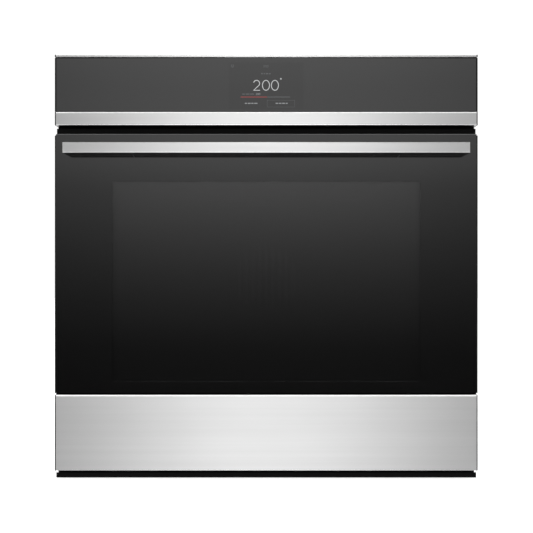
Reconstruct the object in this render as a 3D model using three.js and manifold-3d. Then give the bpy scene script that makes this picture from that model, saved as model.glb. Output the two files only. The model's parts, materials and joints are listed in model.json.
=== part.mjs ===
// A built-in single wall oven, 60 cm class: a black glass and stainless steel front, a drop-down door with
// a bar handle, and the chassis, cavity, heaters, fans and electronics behind it.
// Millimetres. +Z is up, the front faces -Y, and the origin is the centre of the base of the whole oven.
import * as THREE from "three";
import { mergeVertices } from "three/addons/utils/BufferGeometryUtils.js";
import Module from "manifold-3d";

const wasm = await Module();
wasm.setup();

// ---------------------------------------------------------------- driving dimensions
const WIDTH = 596; // front panel
const HEIGHT = 598; // front panel, down to the base
const DEPTH = 565; // front plane of the glass to the rearmost cover
const HANDLE_REACH = 46; // front plane of the glass to the handle's face
const FIT = 0.3; // gap left between pieces that touch

const HALF = WIDTH / 2;
const F = (HANDLE_REACH - DEPTH) / 2; // y of the front plane: the origin is midway between handle and back
const BACK = F + DEPTH;

const SHEET = 1.2; // folded steel
const THIN = 0.8; // chassis sheet
const GLASS = 4;

// Front, from the top down.
const TOP_LIP = 3.1;
const PANEL_BOTTOM = 498.6;
const STRIP_TOP = 517.5;
const FASCIA_DEPTH = 18; // control panel and door stand this far in front of the flange
const DOOR_TOP = 486.3;
const DOOR_SPLIT = 118.8; // top of the door's stainless steel part
const SPLIT_GAP = 2.3; // dark gap between it and the glass above
const DOOR_BOTTOM = 11.8;
const TRIM_Y = { vent: F + 11, bottom: F + 8 }; // faces of the black trims in the gaps
const FLANGE = { y0: F + 18.5, y1: F + 20 };

// Recess in the front frame that the door's inner half shuts into.
const RECESS = { x: 274, z0: 10, z1: 488, y: F + 45 };
const FRAME_SHEET = 1.5;
const FRAME_TOP = 505;

// Chassis box.
const CHASSIS = { x: 278, z0: 6, z1: 585, y0: F + 20.3, y1: 290 };

// Cavity, inside measures.
const CAVITY = { x: 240, z0: 95, z1: 450, y0: F + 46.8, y1: 207, wall: 1 };
const CAVITY_MID = (CAVITY.z0 + CAVITY.z1) / 2;

// Door hinge axis, parallel to X.
const HINGE = { y: F + 9, z: 19, x: 259, pin: 3 };
const DOOR_BACK = F + 38;
const RAIL = { x0: 250, x1: 268, y0: F + 4.5, y1: F + 33.5, z1: 465.5 };
const TOP_RAIL = { z0: 466.5, z1: 482 };
const ARM = { half: 3, nose: 5.5 };

// Handle.
const HANDLE = { x: 274.6, z0: 452.9, z1: 467.2, depth: 25, wall: 2, post: 90 };

// Shelf and its telescopic runners.
const SHELF = { y0: F + 54.5, y1: 150, z: 236, x: 209.4, wire: 3 };
const RUNNER = { z: 231, x: 225.6 };

// Convection fan, in a space behind a cover at the back of the cavity.
const COVER = { x: 155, z0: 130, z1: 415, y0: 157 };
const FAN = { r: 72, y0: 168, y1: 193 };

// Cooling blower above the cavity, with its axis parallel to X.
const BLOWER = { y: 200, z: 530, r: 27, x0: -100, x1: 80 };
const DECK = { z0: 490, z1: 491 };

// Door lock and door switch, above the cavity mouth.
const LOCK = { z: 477.5, pivot: F + 62, tip: F + 28 };
const SWITCH = { x: -200, z: 478, r: 3 };

// ---------------------------------------------------------------- materials
const look = (color, roughness, metalness) => new THREE.MeshStandardMaterial({ color, roughness, metalness });
const STAINLESS = look(0xc9c9c7, 0.32, 1);
const BLACK_GLASS = look(0x0b0b0c, 0.06, 0);
const CLEAR_GLASS = look(0x6d7676, 0.05, 0);
const BLACK_ENAMEL = look(0x101012, 0.35, 0);
const CAVITY_ENAMEL = look(0x23262c, 0.3, 0);
const GALVANISED = look(0x9fa3a6, 0.45, 1);
const CHROME = look(0xd4d6d8, 0.18, 1);
const ALUMINIUM = look(0xb4b7b9, 0.4, 1);
const HEATER = look(0x4a4845, 0.6, 0.6);
const BLACK_PLASTIC = look(0x17181a, 0.55, 0);
const BOARD = look(0x1f5a37, 0.5, 0);
const WOOL = look(0xc9b98a, 1, 0);
const BRAID = look(0x3a3a3c, 0.95, 0);

// ---------------------------------------------------------------- solids
// A closed three.js geometry as a solid that can be joined and cut.
function solid(geometry) {
  geometry.deleteAttribute("normal");
  geometry.deleteAttribute("uv");
  const merged = mergeVertices(geometry, 1e-3);
  return new wasm.Manifold(
    new wasm.Mesh({
      numProp: 3,
      vertProperties: new Float32Array(merged.attributes.position.array),
      triVerts: new Uint32Array(merged.index.array),
    }),
  );
}

const join = (...parts) => parts.flat().reduce((sum, part) => sum.add(part));
const cut = (body, ...tools) => tools.flat().reduce((rest, tool) => rest.subtract(tool), body);

// A box between two limits on each axis.
function block([x0, x1], [y0, y1], [z0, z1]) {
  const geometry = new THREE.BoxGeometry(x1 - x0, y1 - y0, z1 - z0);
  return solid(geometry.translate((x0 + x1) / 2, (y0 + y1) / 2, (z0 + z1) / 2));
}

// A round bar between two points.
function rod(from, to, r, sides = 8) {
  const a = new THREE.Vector3(...from);
  const along = new THREE.Vector3(...to).sub(a);
  const turn = new THREE.Quaternion().setFromUnitVectors(new THREE.Vector3(0, 1, 0), along.clone().normalize());
  const geometry = new THREE.CylinderGeometry(r, r, along.length(), sides);
  const middle = a.addScaledVector(along, 0.5);
  return solid(geometry.applyQuaternion(turn).translate(middle.x, middle.y, middle.z));
}

// A flat outline, given in (y, z), drawn out along X.
function alongX(shape, x0, x1) {
  const geometry = new THREE.ExtrudeGeometry(shape, { depth: x1 - x0, bevelEnabled: false, curveSegments: 10 });
  geometry.applyMatrix4(new THREE.Matrix4().set(0, 0, 1, x0, 1, 0, 0, 0, 0, 1, 0, 0, 0, 0, 0, 1));
  return solid(geometry);
}

// A flat outline, given in (x, z), drawn out along Y.
function alongY(shape, y0, y1) {
  const geometry = new THREE.ExtrudeGeometry(shape, { depth: y1 - y0, bevelEnabled: false, curveSegments: 4 });
  geometry.applyMatrix4(new THREE.Matrix4().set(1, 0, 0, 0, 0, 0, -1, y1, 0, 1, 0, 0, 0, 0, 0, 1));
  return solid(geometry);
}

// A profile of (radius, distance) turned about an axis parallel to Y through (x, z).
function turned(profile, x, z, sides = 24) {
  const points = profile.map(([r, y]) => new THREE.Vector2(r, y));
  return solid(new THREE.LatheGeometry(points, sides).translate(x, 0, z));
}

// A round bar that follows a smooth or straight-sided path.
function bent(path, r, steps, sides = 8) {
  const section = new THREE.Shape();
  for (let i = 0; i < sides; i++) {
    const angle = (2 * Math.PI * i) / sides;
    section[i ? "lineTo" : "moveTo"](r * Math.cos(angle), r * Math.sin(angle));
  }
  return solid(new THREE.ExtrudeGeometry(section, { extrudePath: path, steps, bevelEnabled: false }));
}

// Straight runs joined by arcs, through corner points, with one bend radius.
function bentPath(corners, radius) {
  const points = corners.map((c) => new THREE.Vector3(...c));
  const path = new THREE.CurvePath();
  let from = points[0];
  for (let i = 1; i < points.length - 1; i++) {
    const before = points[i].clone().add(points[i - 1].clone().sub(points[i]).setLength(radius));
    const after = points[i].clone().add(points[i + 1].clone().sub(points[i]).setLength(radius));
    path.add(new THREE.LineCurve3(from, before));
    path.add(new THREE.QuadraticBezierCurve3(before, points[i], after));
    from = after;
  }
  path.add(new THREE.LineCurve3(from, points.at(-1)));
  return path;
}

// ---------------------------------------------------------------- assembly
const oven = new THREE.Group();
const chassis = new THREE.Group();
const door = new THREE.Group();
const shelf = new THREE.Group();
door.position.set(0, HINGE.y, HINGE.z);
shelf.position.set(0, SHELF.y0, SHELF.z);
oven.add(chassis, door, shelf);

// Adds a solid to a group as a named mesh that sits at the middle of its own box.
function add(name, body, material, group = chassis) {
  const made = body.getMesh();
  const geometry = new THREE.BufferGeometry();
  geometry.setAttribute("position", new THREE.BufferAttribute(new Float32Array(made.vertProperties), 3));
  geometry.setIndex(new THREE.BufferAttribute(new Uint32Array(made.triVerts), 1));
  geometry.computeBoundingBox();
  const middle = geometry.boundingBox.getCenter(new THREE.Vector3());
  geometry.translate(-middle.x, -middle.y, -middle.z);
  const mesh = new THREE.Mesh(geometry, material);
  mesh.name = name;
  mesh.position.copy(middle).sub(group.position);
  group.add(mesh);
  return mesh;
}

// Adds a right-hand piece and its mirror image on the left.
function addPair(name, body, material, group = chassis) {
  const right = add(name + "_right", body, material, group);
  const left = right.clone();
  left.name = name + "_left";
  left.position.x *= -1;
  left.scale.x = -1;
  group.add(left);
}

const both = (make) => [make(1), make(-1)]; // the same cut on the right and on the left
const spread = (count, pitch) => Array.from({ length: count }, (_, i) => (i - (count - 1) / 2) * pitch);
const span = (side, near, far) => (side > 0 ? [near, far] : [-far, -near]);

// ---------------------------------------------------------------- front frame and trims
const HINGE_SLOT = { near: 252, far: 266, z0: 11, z1: 27 };
const PAD_Y = [FLANGE.y0 + 0.5, FLANGE.y1 + 0.7]; // raised pads that lie against the cabinet
const VENT_SLOT = { z0: 491.5, z1: 496.5, half: 20, pitch: 48 };

function frontFrame() {
  const flange = block([-HALF, HALF], [FLANGE.y0, FLANGE.y1], [1, FRAME_TOP]);
  const wall = FRAME_SHEET;
  const tray = block(
    [-RECESS.x - wall, RECESS.x + wall],
    [FLANGE.y0, RECESS.y + wall],
    [RECESS.z0 - wall, RECESS.z1 + wall],
  );
  const hollow = block([-RECESS.x, RECESS.x], [F, RECESS.y], [RECESS.z0, RECESS.z1]);
  const mouth = block([-CAVITY.x, CAVITY.x], [F, RECESS.y + 20], [CAVITY.z0, CAVITY.z1]);
  const hingeSlots = both((side) =>
    block(
      span(side, HINGE_SLOT.near, HINGE_SLOT.far),
      [RECESS.y - 5, RECESS.y + 5],
      [HINGE_SLOT.z0, HINGE_SLOT.z1],
    ),
  );
  const lockSlot = block([-14, 14], [RECESS.y - 5, RECESS.y + 5], [LOCK.z - 4, LOCK.z + 4]);
  const switchHole = rod(
    [SWITCH.x, RECESS.y - 5, SWITCH.z],
    [SWITCH.x, RECESS.y + 5, SWITCH.z],
    SWITCH.r + 1.5,
    12,
  );
  const vents = spread(6, VENT_SLOT.pitch).map((x) =>
    block([x - VENT_SLOT.half, x + VENT_SLOT.half], [F, RECESS.y], [VENT_SLOT.z0, VENT_SLOT.z1]),
  );
  const screwHoles = [80, 440].flatMap((z) =>
    both((side) => rod([side * 287, F, z], [side * 287, FLANGE.y1 + 2, z], 2.6, 10)),
  );
  const pads = [150, 370].flatMap((z) => both((side) => block(span(side, 281, 295), PAD_Y, [z - 25, z + 25])));
  return cut(join(flange, tray, pads), hollow, mouth, hingeSlots, lockSlot, switchHole, vents, screwHoles);
}

// A face with a web that runs back from its lower edge to the flange.
function angleTrim(y, z0, z1) {
  const face = block([-HALF, HALF], [y, y + SHEET], [z0, z1]);
  const web = block([-HALF, HALF], [y, FLANGE.y0 - FIT], [z0, z0 + SHEET]);
  return join(face, web);
}

add("front_frame", frontFrame(), BLACK_ENAMEL);
add("vent_trim", angleTrim(TRIM_Y.vent, 485, 495.6), BLACK_ENAMEL);
add("bottom_trim", angleTrim(TRIM_Y.bottom, 0, 7), BLACK_ENAMEL);

// ---------------------------------------------------------------- control panel
const DISPLAY = { x: 58, z0: 519, z1: 591.5 };

function controlHousing() {
  const y1 = F + FASCIA_DEPTH;
  const plates = [
    block([-HALF, HALF], [F, F + SHEET], [HEIGHT - TOP_LIP, HEIGHT]), // lip over the glass
    block([-HALF, HALF], [F, y1], [HEIGHT - SHEET, HEIGHT]),
    block([-HALF, HALF], [F, F + SHEET], [PANEL_BOTTOM, STRIP_TOP]), // steel strip under the glass
    block([-HALF, HALF], [F, F + 6.5], [STRIP_TOP - SHEET, STRIP_TOP]),
    block([-HALF, HALF], [F, y1], [PANEL_BOTTOM, PANEL_BOTTOM + SHEET]),
    block([-HALF, HALF], [F + 6, F + 6 + SHEET], [PANEL_BOTTOM, HEIGHT]),
    ...both((side) =>
      block(span(side, HALF - SHEET, HALF), [F + GLASS + FIT, y1], [PANEL_BOTTOM, HEIGHT]),
    ),
    ...both((side) => block(span(side, HALF - SHEET, HALF), [F, y1], [PANEL_BOTTOM, STRIP_TOP])),
  ];
  const displayHole = block([-DISPLAY.x - 1, DISPLAY.x + 1], [F + 3, F + 10], [DISPLAY.z0 - 1, DISPLAY.z1 + 1]);
  const clipSlots = spread(6, 90).map((x) => block([x - 12, x + 12], [F + 5, F + 8], [503, 512]));
  return cut(join(plates), displayHole, clipSlots);
}

add("control_panel_housing", controlHousing(), STAINLESS);
add(
  "control_glass",
  block([-HALF, HALF], [F, F + GLASS], [STRIP_TOP + FIT, HEIGHT - TOP_LIP - FIT]),
  BLACK_GLASS,
);
add(
  "display_module",
  block([-DISPLAY.x, DISPLAY.x], [F + GLASS + FIT, F + 13], [DISPLAY.z0, DISPLAY.z1]),
  BLACK_PLASTIC,
);

// ---------------------------------------------------------------- chassis box
function sidePanel() {
  const plate = block([CHASSIS.x - THIN, CHASSIS.x], [CHASSIS.y0, CHASSIS.y1 - FIT], [CHASSIS.z0, CHASSIS.z1]);
  const slots = spread(6, 14).map((z) =>
    block([CHASSIS.x - 3, CHASSIS.x + 3], [180, 250], [545 + z - 3, 545 + z + 3]),
  );
  return cut(plate, slots);
}

function topCover() {
  const x = CHASSIS.x - THIN - FIT;
  const plate = block([-x, x], [CHASSIS.y0, CHASSIS.y1 - FIT], [CHASSIS.z1 - THIN, CHASSIS.z1]);
  const slots = spread(7, 18).map((y) => block([-70, 50], [BLOWER.y + y - 3, BLOWER.y + y + 3], [570, 600]));
  return cut(plate, slots);
}

function basePanel() {
  const x = CHASSIS.x - THIN - FIT;
  const plate = block([-x, x], [CHASSIS.y0, CHASSIS.y1 - FIT], [CHASSIS.z0, CHASSIS.z0 + THIN]);
  const skids = both((side) => block(span(side, 205, 221), [-215, 275], [0, CHASSIS.z0 + THIN]));
  return join(plate, skids);
}

function rearPanel() {
  const plate = block([-CHASSIS.x, CHASSIS.x], [CHASSIS.y1, CHASSIS.y1 + THIN], [CHASSIS.z0, CHASSIS.z1]);
  const slots = spread(8, 12).map((z) =>
    block([60, 220], [CHASSIS.y1 - 5, CHASSIS.y1 + 5], [530 + z - 3, 530 + z + 3]),
  );
  const motorHole = block([-95, 95], [CHASSIS.y1 - 5, CHASSIS.y1 + 5], [185, 365]);
  return cut(plate, slots, motorHole);
}

function rearMotorCover() {
  const [x, z0, z1, y0] = [110, 170, 380, CHASSIS.y1 + THIN + FIT];
  const pan = block([-x, x], [y0, BACK], [z0, z1]);
  const inside = block([-x + THIN, x - THIN], [y0 - 1, BACK - THIN], [z0 + THIN, z1 - THIN]);
  const slots = spread(6, 26).map((z) => block([-80, 80], [BACK - 5, BACK + 5], [275 + z - 4, 275 + z + 4]));
  return cut(pan, inside, slots);
}

// Mains terminal box with a gland for the cable below it.
function terminalBlock() {
  const y = CHASSIS.y1 + THIN + FIT;
  const [gx, gy] = [-190, y + 6.2];
  const gland = rod([gx, gy, 500], [gx, gy, 512], 5.8, 16);
  const bore = rod([gx, gy, 490], [gx, gy, 530], 3.8, 12);
  return cut(join(block([-225, -155], [y, BACK - 1], [510, 565]), gland), bore);
}

function deckPanel() {
  const x = CHASSIS.x - THIN - FIT;
  const plate = block([-x, x], [RECESS.y + 2, CHASSIS.y1 - FIT], [DECK.z0, DECK.z1]);
  const duct = block([-90, 70], [215, 265], [480, 500]);
  return cut(plate, duct);
}

addPair("side_panel", sidePanel(), GALVANISED);
add("top_cover", topCover(), GALVANISED);
add("base_panel", basePanel(), GALVANISED);
add("rear_panel", rearPanel(), GALVANISED);
add("rear_motor_cover", rearMotorCover(), GALVANISED);
add("terminal_block", terminalBlock(), BLACK_PLASTIC);
add("deck_panel", deckPanel(), GALVANISED);

// ---------------------------------------------------------------- cavity
const LAMP = { x: 192, z: 408, r: 26 };
const BAKE_POCKET = { x: 205, y0: -185, y1: 165, z0: 80 };

function cavityWrapper() {
  const { x, z0, z1, y0, y1, wall } = CAVITY;
  const outside = block([-x - wall, x + wall], [y0, y1], [z0 - wall, z1 + wall]);
  return cut(outside, block([-x, x], [y0 - 1, y1 + 1], [z0, z1]));
}

function cavityBack() {
  const { x, z0, z1, y1, wall } = CAVITY;
  const y = y1 + FIT;
  const plate = block([-x - wall, x + wall], [y, y + wall], [z0 - wall, z1 + wall]);
  const shaftHole = rod([0, y - 5, CAVITY_MID], [0, y + 5, CAVITY_MID], 10, 16);
  const lampHoles = both((side) => rod([side * LAMP.x, y - 5, LAMP.z], [side * LAMP.x, y + 5, LAMP.z], 18, 16));
  return cut(plate, shaftHole, lampHoles);
}

// Glass wool round the cavity, open at the front, with room for the motor and the lower heater.
function insulation() {
  const { x, z0, z1, y1, wall } = CAVITY;
  const outside = block([-266, 266], [-205, 228], [68, 470]);
  const inside = block([-x - wall - FIT, x + wall + FIT], [-210, y1 + 2.4], [z0 - wall - FIT, z1 + wall + FIT]);
  const pocket = block([-BAKE_POCKET.x, BAKE_POCKET.x], [BAKE_POCKET.y0, BAKE_POCKET.y1], [BAKE_POCKET.z0, z0]);
  const motorHole = rod([0, 200, CAVITY_MID], [0, 240, CAVITY_MID], 50, 20);
  return cut(outside, inside, pocket, motorHole);
}

// Braided seal on the front frame, round the mouth of the cavity.
function gasket() {
  const [grow, width, y0, y1] = [4, 9, DOOR_BACK + 0.4, RECESS.y - FIT];
  const ring = (margin, ya, yb) =>
    block([-CAVITY.x - margin, CAVITY.x + margin], [ya, yb], [CAVITY.z0 - margin, CAVITY.z1 + margin]);
  return cut(ring(grow + width, y0, y1), ring(grow, y0 - 1, y1 + 1));
}

add("cavity_wrapper", cavityWrapper(), CAVITY_ENAMEL);
add("cavity_back", cavityBack(), CAVITY_ENAMEL);
add("insulation_blanket", insulation(), WOOL);
add("door_gasket", gasket(), BRAID);

// ---------------------------------------------------------------- convection fan and heaters
function fanCover() {
  const { x, z0, z1, y0 } = COVER;
  const pan = block([-x, x], [y0, CAVITY.y1 - FIT], [z0, z1]);
  const inside = block([-x + SHEET, x - SHEET], [y0 + SHEET, CAVITY.y1 + 1], [z0 + SHEET, z1 - SHEET]);
  const intakeRadius = 62;
  const intake = spread(9, 13).map((sx) => {
    const half = Math.sqrt(intakeRadius ** 2 - sx ** 2);
    return block([sx - 3, sx + 3], [y0 - 5, y0 + 5], [CAVITY_MID - half, CAVITY_MID + half]);
  });
  const outlets = spread(8, 30).flatMap((sz) =>
    both((side) =>
      block(span(side, 112, 140), [y0 - 5, y0 + 5], [CAVITY_MID + sz - 4, CAVITY_MID + sz + 4]),
    ),
  );
  return cut(pan, inside, intake, outlets);
}

// Radial blades in front of a disc, on a shaft that runs back into the motor.
function convectionFan() {
  const { r, y0, y1 } = FAN;
  const wheel = turned([[0, y1 - 1.5], [r, y1 - 1.5], [r, y1], [4, y1], [4, 240], [0, 240]], 0, CAVITY_MID, 20);
  const hub = rod([0, y0 + 4, CAVITY_MID], [0, y1 - 1, CAVITY_MID], 10, 12);
  const blades = Array.from({ length: 10 }, (_, i) => {
    const blade = new THREE.BoxGeometry(1.5, y1 - y0 - 1, r - 32).translate(0, (y0 + y1 - 1) / 2, (r + 32) / 2);
    return solid(blade.rotateY((2 * Math.PI * i) / 10).translate(0, 0, CAVITY_MID));
  });
  return join(wheel, hub, blades);
}

function ringElement() {
  const [radius, y, tube] = [88, 180, 3.5];
  const torus = new THREE.TorusGeometry(radius, tube, 8, 32).rotateX(Math.PI / 2).translate(0, y, CAVITY_MID);
  const leads = [-9, 9].map((x) =>
    rod([x, y, CAVITY_MID + radius], [x, CAVITY.y1 - FIT, CAVITY_MID + radius], tube, 8),
  );
  return join(solid(torus), leads);
}

function fanMotor() {
  const body = turned([[0, 230], [42, 230], [42, 268], [30, 276], [0, 276]], 0, CAVITY_MID, 24);
  const bracket = block([-70, 70], [229, 231], [CAVITY_MID - 18, CAVITY_MID + 18]);
  const bore = rod([0, 220, CAVITY_MID], [0, 245, CAVITY_MID], 6, 12);
  return cut(join(body, bracket), bore);
}

// Serpentine rod under the ceiling, held by a plate at the back wall.
function grillElement() {
  const [z, tube, near, far, end] = [432, 3.5, -165, 110, CAVITY.y1 - FIT];
  const xs = [185, 111, 37, -37, -111, -185];
  const corners = xs.flatMap((x, i) => (i % 2 ? [[x, near, z], [x, far, z]] : [[x, far, z], [x, near, z]]));
  corners[0] = [xs[0], 140, z];
  corners[corners.length - 1] = [xs.at(-1), 140, z];
  const ends = [[20, end, z], [20, 140, z]];
  const tail = [[-20, 140, z], [-20, end, z]];
  const rodBody = bent(bentPath([...ends, ...corners, ...tail], 22), tube, 76, 6);
  const plate = block([-32, 32], [end - 1.5, end], [z - 9, z + 9]);
  return join(rodBody, plate);
}

// Flat loop under the cavity floor.
function bakeElement() {
  const [z, tube] = [87, 3.2];
  const xs = [190, 95, 0, -95, -190];
  const corners = xs.flatMap((x, i) => (i % 2 ? [[x, -165, z], [x, 145, z]] : [[x, 145, z], [x, -165, z]]));
  return bent(bentPath(corners, 24), tube, 60, 6);
}

function lampLens() {
  const y = CAVITY.y1 - FIT;
  const profile = [[0, y - 14], [14, y - 12], [21, y - 6], [23, y - 4], [LAMP.r, y - 4], [LAMP.r, y], [0, y]];
  return turned(profile, LAMP.x, LAMP.z, 20);
}

function temperatureProbe() {
  const [x, z, end] = [-205, 330, CAVITY.y1 - FIT];
  return join(rod([x, 145, z], [x, end, z], 3, 10), rod([x, end - 2, z], [x, end, z], 9, 12));
}

add("fan_cover", fanCover(), CAVITY_ENAMEL);
add("convection_fan", convectionFan(), ALUMINIUM);
add("ring_element", ringElement(), HEATER);
add("fan_motor", fanMotor(), GALVANISED);
add("grill_element", grillElement(), HEATER);
add("bake_element", bakeElement(), HEATER);
addPair("lamp_lens", lampLens(), CLEAR_GLASS);
add("temperature_probe", temperatureProbe(), CHROME);

// ---------------------------------------------------------------- side racks, runners and shelf
// Ladder of wires that hangs on the side wall: two uprights, and a pair of guide wires for each level.
function sideRack() {
  const [wire, upright, guide] = [2.5, 233.5, 230];
  const [low, high] = [104, 384];
  const uprights = [-175, 125].flatMap((y) => [
    rod([upright, y, low], [upright, y, high], wire, 6),
    ...[low + 10, high - 10].map((z) => rod([upright - 1, y, z], [CAVITY.x - FIT, y, z], wire, 6)),
  ]);
  const levels = [123, 177, 231, 285, 339];
  const guides = levels.flatMap((z) =>
    [-6, 6].map((dz) => rod([guide, SHELF.y0 + 4, z + dz], [guide, 140, z + dz], wire, 6)),
  );
  return join(uprights, guides);
}

// Channel of a telescopic runner that opens towards the middle of the cavity.
function runnerChannel(webX, height, reach) {
  const [z0, z1] = [RUNNER.z - height / 2, RUNNER.z + height / 2];
  const y = [SHELF.y0, SHELF.y1];
  return join(
    block([webX - SHEET, webX], y, [z0, z1]),
    block([webX - reach, webX], y, [z1 - SHEET, z1]),
    block([webX - reach, webX], y, [z0, z0 + SHEET]),
  );
}

function wireShelf() {
  const { y0, y1, z, x, wire } = SHELF;
  const frame = [
    ...both((side) => rod([side * x, y0 + wire, z], [side * x, y1 - wire, z], wire, 6)),
    rod([-x, y0 + wire, z], [x, y0 + wire, z], wire, 6),
    rod([-x, y1 - wire, z], [x, y1 - wire, z], wire, 6),
    rod([-x, (y0 + y1) / 2, z - 2], [x, (y0 + y1) / 2, z - 2], wire, 6),
  ];
  const drop = z - 12; // second wire below the front edge
  const front = [
    rod([-x, y0 + wire, drop], [x, y0 + wire, drop], wire, 6),
    block([-x, x], [y0 + wire - 1, y0 + wire + 1], [drop, z]), // stop plate between the two front wires
    ...[-x, 0, x].map((px) => rod([px, y0 + wire, drop], [px, y0 + wire, z], wire, 6)),
  ];
  const grid = spread(15, 26).map((gx) => rod([gx, y0 + wire, z + 1], [gx, y1 - wire, z + 1], 1.8, 6));
  return join(frame, front, grid);
}

addPair("side_rack", sideRack(), CHROME);
addPair("runner_outer", runnerChannel(RUNNER.x, 16, 8.6), CHROME);
addPair("runner_middle", runnerChannel(RUNNER.x - 1.8, 11.2, 8.8), CHROME, shelf);
addPair(
  "runner_inner",
  block([213, RUNNER.x - 4.2], [SHELF.y0, SHELF.y1], [RUNNER.z - 3.2, RUNNER.z + 3.2]),
  CHROME,
  shelf,
);
add("wire_shelf", wireShelf(), CHROME, shelf);

// ---------------------------------------------------------------- cooling blower and electronics
// Cross-flow wheel: blades on a core, with a shaft into the motor.
function blowerWheel() {
  const { y, z, r, x0, x1 } = BLOWER;
  const outline = new THREE.Shape();
  const blades = 14;
  for (let i = 0; i < blades; i++) {
    const a = (2 * Math.PI * i) / blades;
    const corner = (radius, angle) => [y + radius * Math.cos(angle), z + radius * Math.sin(angle)];
    outline[i ? "lineTo" : "moveTo"](...corner(14, a));
    outline.lineTo(...corner(r, a + 0.22));
    outline.lineTo(...corner(r, a + 0.28));
    outline.lineTo(...corner(14, a + 0.12));
  }
  return join(alongX(outline, x0, x1), rod([x1 - 2, y, z], [x1 + 12, y, z], 3, 10));
}

// Sheet scroll round the wheel, open below and towards the front.
function blowerHousing() {
  const { y, z, r, x0, x1 } = BLOWER;
  const [inner, from, to] = [r + 6, -0.35 * Math.PI, 1.05 * Math.PI];
  const arc = (radius, start, end, steps = 20) =>
    Array.from({ length: steps + 1 }, (_, i) => {
      const a = start + ((end - start) * i) / steps;
      return new THREE.Vector2(y + radius * Math.cos(a), z + radius * Math.sin(a));
    });
  const sheet = new THREE.Shape([...arc(inner, from, to), ...arc(inner + THIN, to, from)]);
  return alongX(sheet, x0 - 2, x1 + 2);
}

function blowerMotor() {
  const { y, z, x1 } = BLOWER;
  const body = rod([x1 + 6, y, z], [x1 + 44, y, z], 30, 20);
  const foot = block([x1 + 14, x1 + 36], [y - 26, y + 26], [DECK.z1 + FIT, z - 20]);
  const bore = rod([x1 + 2, y, z], [x1 + 20, y, z], 5, 12);
  return cut(join(body, foot), bore);
}

// Channel that carries the cooling air over the deck to the slots in the front frame.
function airDuct() {
  const [x, y0, y1, top] = [150, FLANGE.y1 + FIT, 160, 512];
  const floor = DECK.z1 + FIT;
  const front = RECESS.y + 2; // the side walls stand on the deck
  return join(
    block([-x, x], [y0, y1], [top - THIN, top]),
    block([-x, -x + THIN], [front, y1], [floor, top]),
    block([x - THIN, x], [front, y1], [floor, top]),
  );
}

function powerBoard() {
  const [x0, x1, y0, y1, z] = [-262, -160, -60, 150, 500];
  const parts = [
    block([x0, x1], [y0, y1], [z, z + 1.6]),
    block([x0 + 8, x0 + 48], [y0 + 10, y0 + 46], [z, z + 32]), // transformer
    ...[0, 1, 2, 3].map((i) => block([x0 + 60, x0 + 76], [y0 + 10 + 30 * i, y0 + 32 + 30 * i], [z, z + 17])), // relays
    block([x0 + 8, x0 + 34], [y0 + 120, y0 + 190], [z, z + 12]), // connectors
    ...[x0 + 5, x1 - 5].flatMap((x) =>
      [y0 + 5, y1 - 5].map((y) => rod([x, y, DECK.z1 + FIT], [x, y, z + 1], 3, 8)),
    ),
  ];
  return join(parts);
}

add("blower_wheel", blowerWheel(), ALUMINIUM);
add("blower_housing", blowerHousing(), GALVANISED);
add("blower_motor", blowerMotor(), GALVANISED);
add("air_duct", airDuct(), GALVANISED);
add("power_board", powerBoard(), BOARD);

// ---------------------------------------------------------------- door lock and door switch
function lockHousing() {
  const body = block([-30, 30], [F + 48, F + 90], [471.5, 487]);
  const slot = block([-28, 28], [F + 47, F + 86], [LOCK.z - 3, LOCK.z + 3]);
  const pin = rod([0, LOCK.pivot, LOCK.z - 4], [0, LOCK.pivot, LOCK.z + 4], 2.5, 12);
  return join(cut(body, slot), pin);
}

// Flat hook that turns on the housing's pin and catches behind the slot in the door's top rail.
function lockHook() {
  const { z, pivot, tip } = LOCK;
  const [z0, z1] = [z - 1.5, z + 1.5];
  const stem = block([-4, 4], [tip, pivot], [z0, z1]);
  const barb = block([-4, 8], [tip, tip + 5], [z0, z1]);
  const eye = rod([0, pivot, z0], [0, pivot, z1], 7, 14);
  return cut(join(stem, barb, eye), rod([0, pivot, z0 - 1], [0, pivot, z1 + 1], 3, 12));
}

function doorSwitch() {
  const { x, z, r } = SWITCH;
  const body = block([x - 12, x + 12], [RECESS.y + 2, F + 74], [471.5, 486]);
  return cut(body, rod([x, F + 40, z], [x, F + 66, z], r + 0.7, 12));
}

function switchPlunger() {
  const { x, z, r } = SWITCH;
  return rod([x, DOOR_BACK + 0.5, z], [x, F + 60, z], r, 12);
}

add("lock_housing", lockHousing(), GALVANISED);
add("lock_hook", lockHook(), GALVANISED);
add("door_switch", doorSwitch(), BLACK_PLASTIC);
add("switch_plunger", switchPlunger(), BLACK_PLASTIC);

// ---------------------------------------------------------------- hinges
const CATCH = { y: F + 91, z: 15.5, r: 2 };

// Arm with the hinge pin at its nose. It runs back through the frame and hooks over the receiver's catch pin.
function hingeArm() {
  const { x, y, z, pin } = HINGE;
  const [x0, x1] = [x - ARM.half, x + ARM.half];
  const nose = rod([x0, y, z], [x1, y, z], ARM.nose, 16);
  const bar = block([x0, x1], [y, F + 105], [z - ARM.nose, z + ARM.nose]);
  const pivot = rod([RAIL.x0 - 1, y, z], [RAIL.x1 + 1, y, z], pin, 12);
  const notch = block([x0 - 1, x1 + 1], [CATCH.y - 3, CATCH.y + 3], [0, CATCH.z + 3]);
  return cut(join(nose, bar, pivot), notch);
}

function hingeReceiver() {
  const [x0, x1, y0, y1] = [HINGE.x - 6, HINGE.x + 6, RECESS.y + 2, F + 112];
  const walls = [
    block([x0, x1], [y0, y1], [10, 11.5]),
    block([x0, x0 + FRAME_SHEET], [y0, y1], [10, 30]),
    block([x1 - FRAME_SHEET, x1], [y0, y1], [10, 30]),
  ];
  return join(walls, rod([x0 + 1, CATCH.y, CATCH.z], [x1 - 1, CATCH.y, CATCH.z], CATCH.r, 10));
}

addPair("hinge_arm", hingeArm(), GALVANISED);
addPair("hinge_receiver", hingeReceiver(), GALVANISED);

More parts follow.
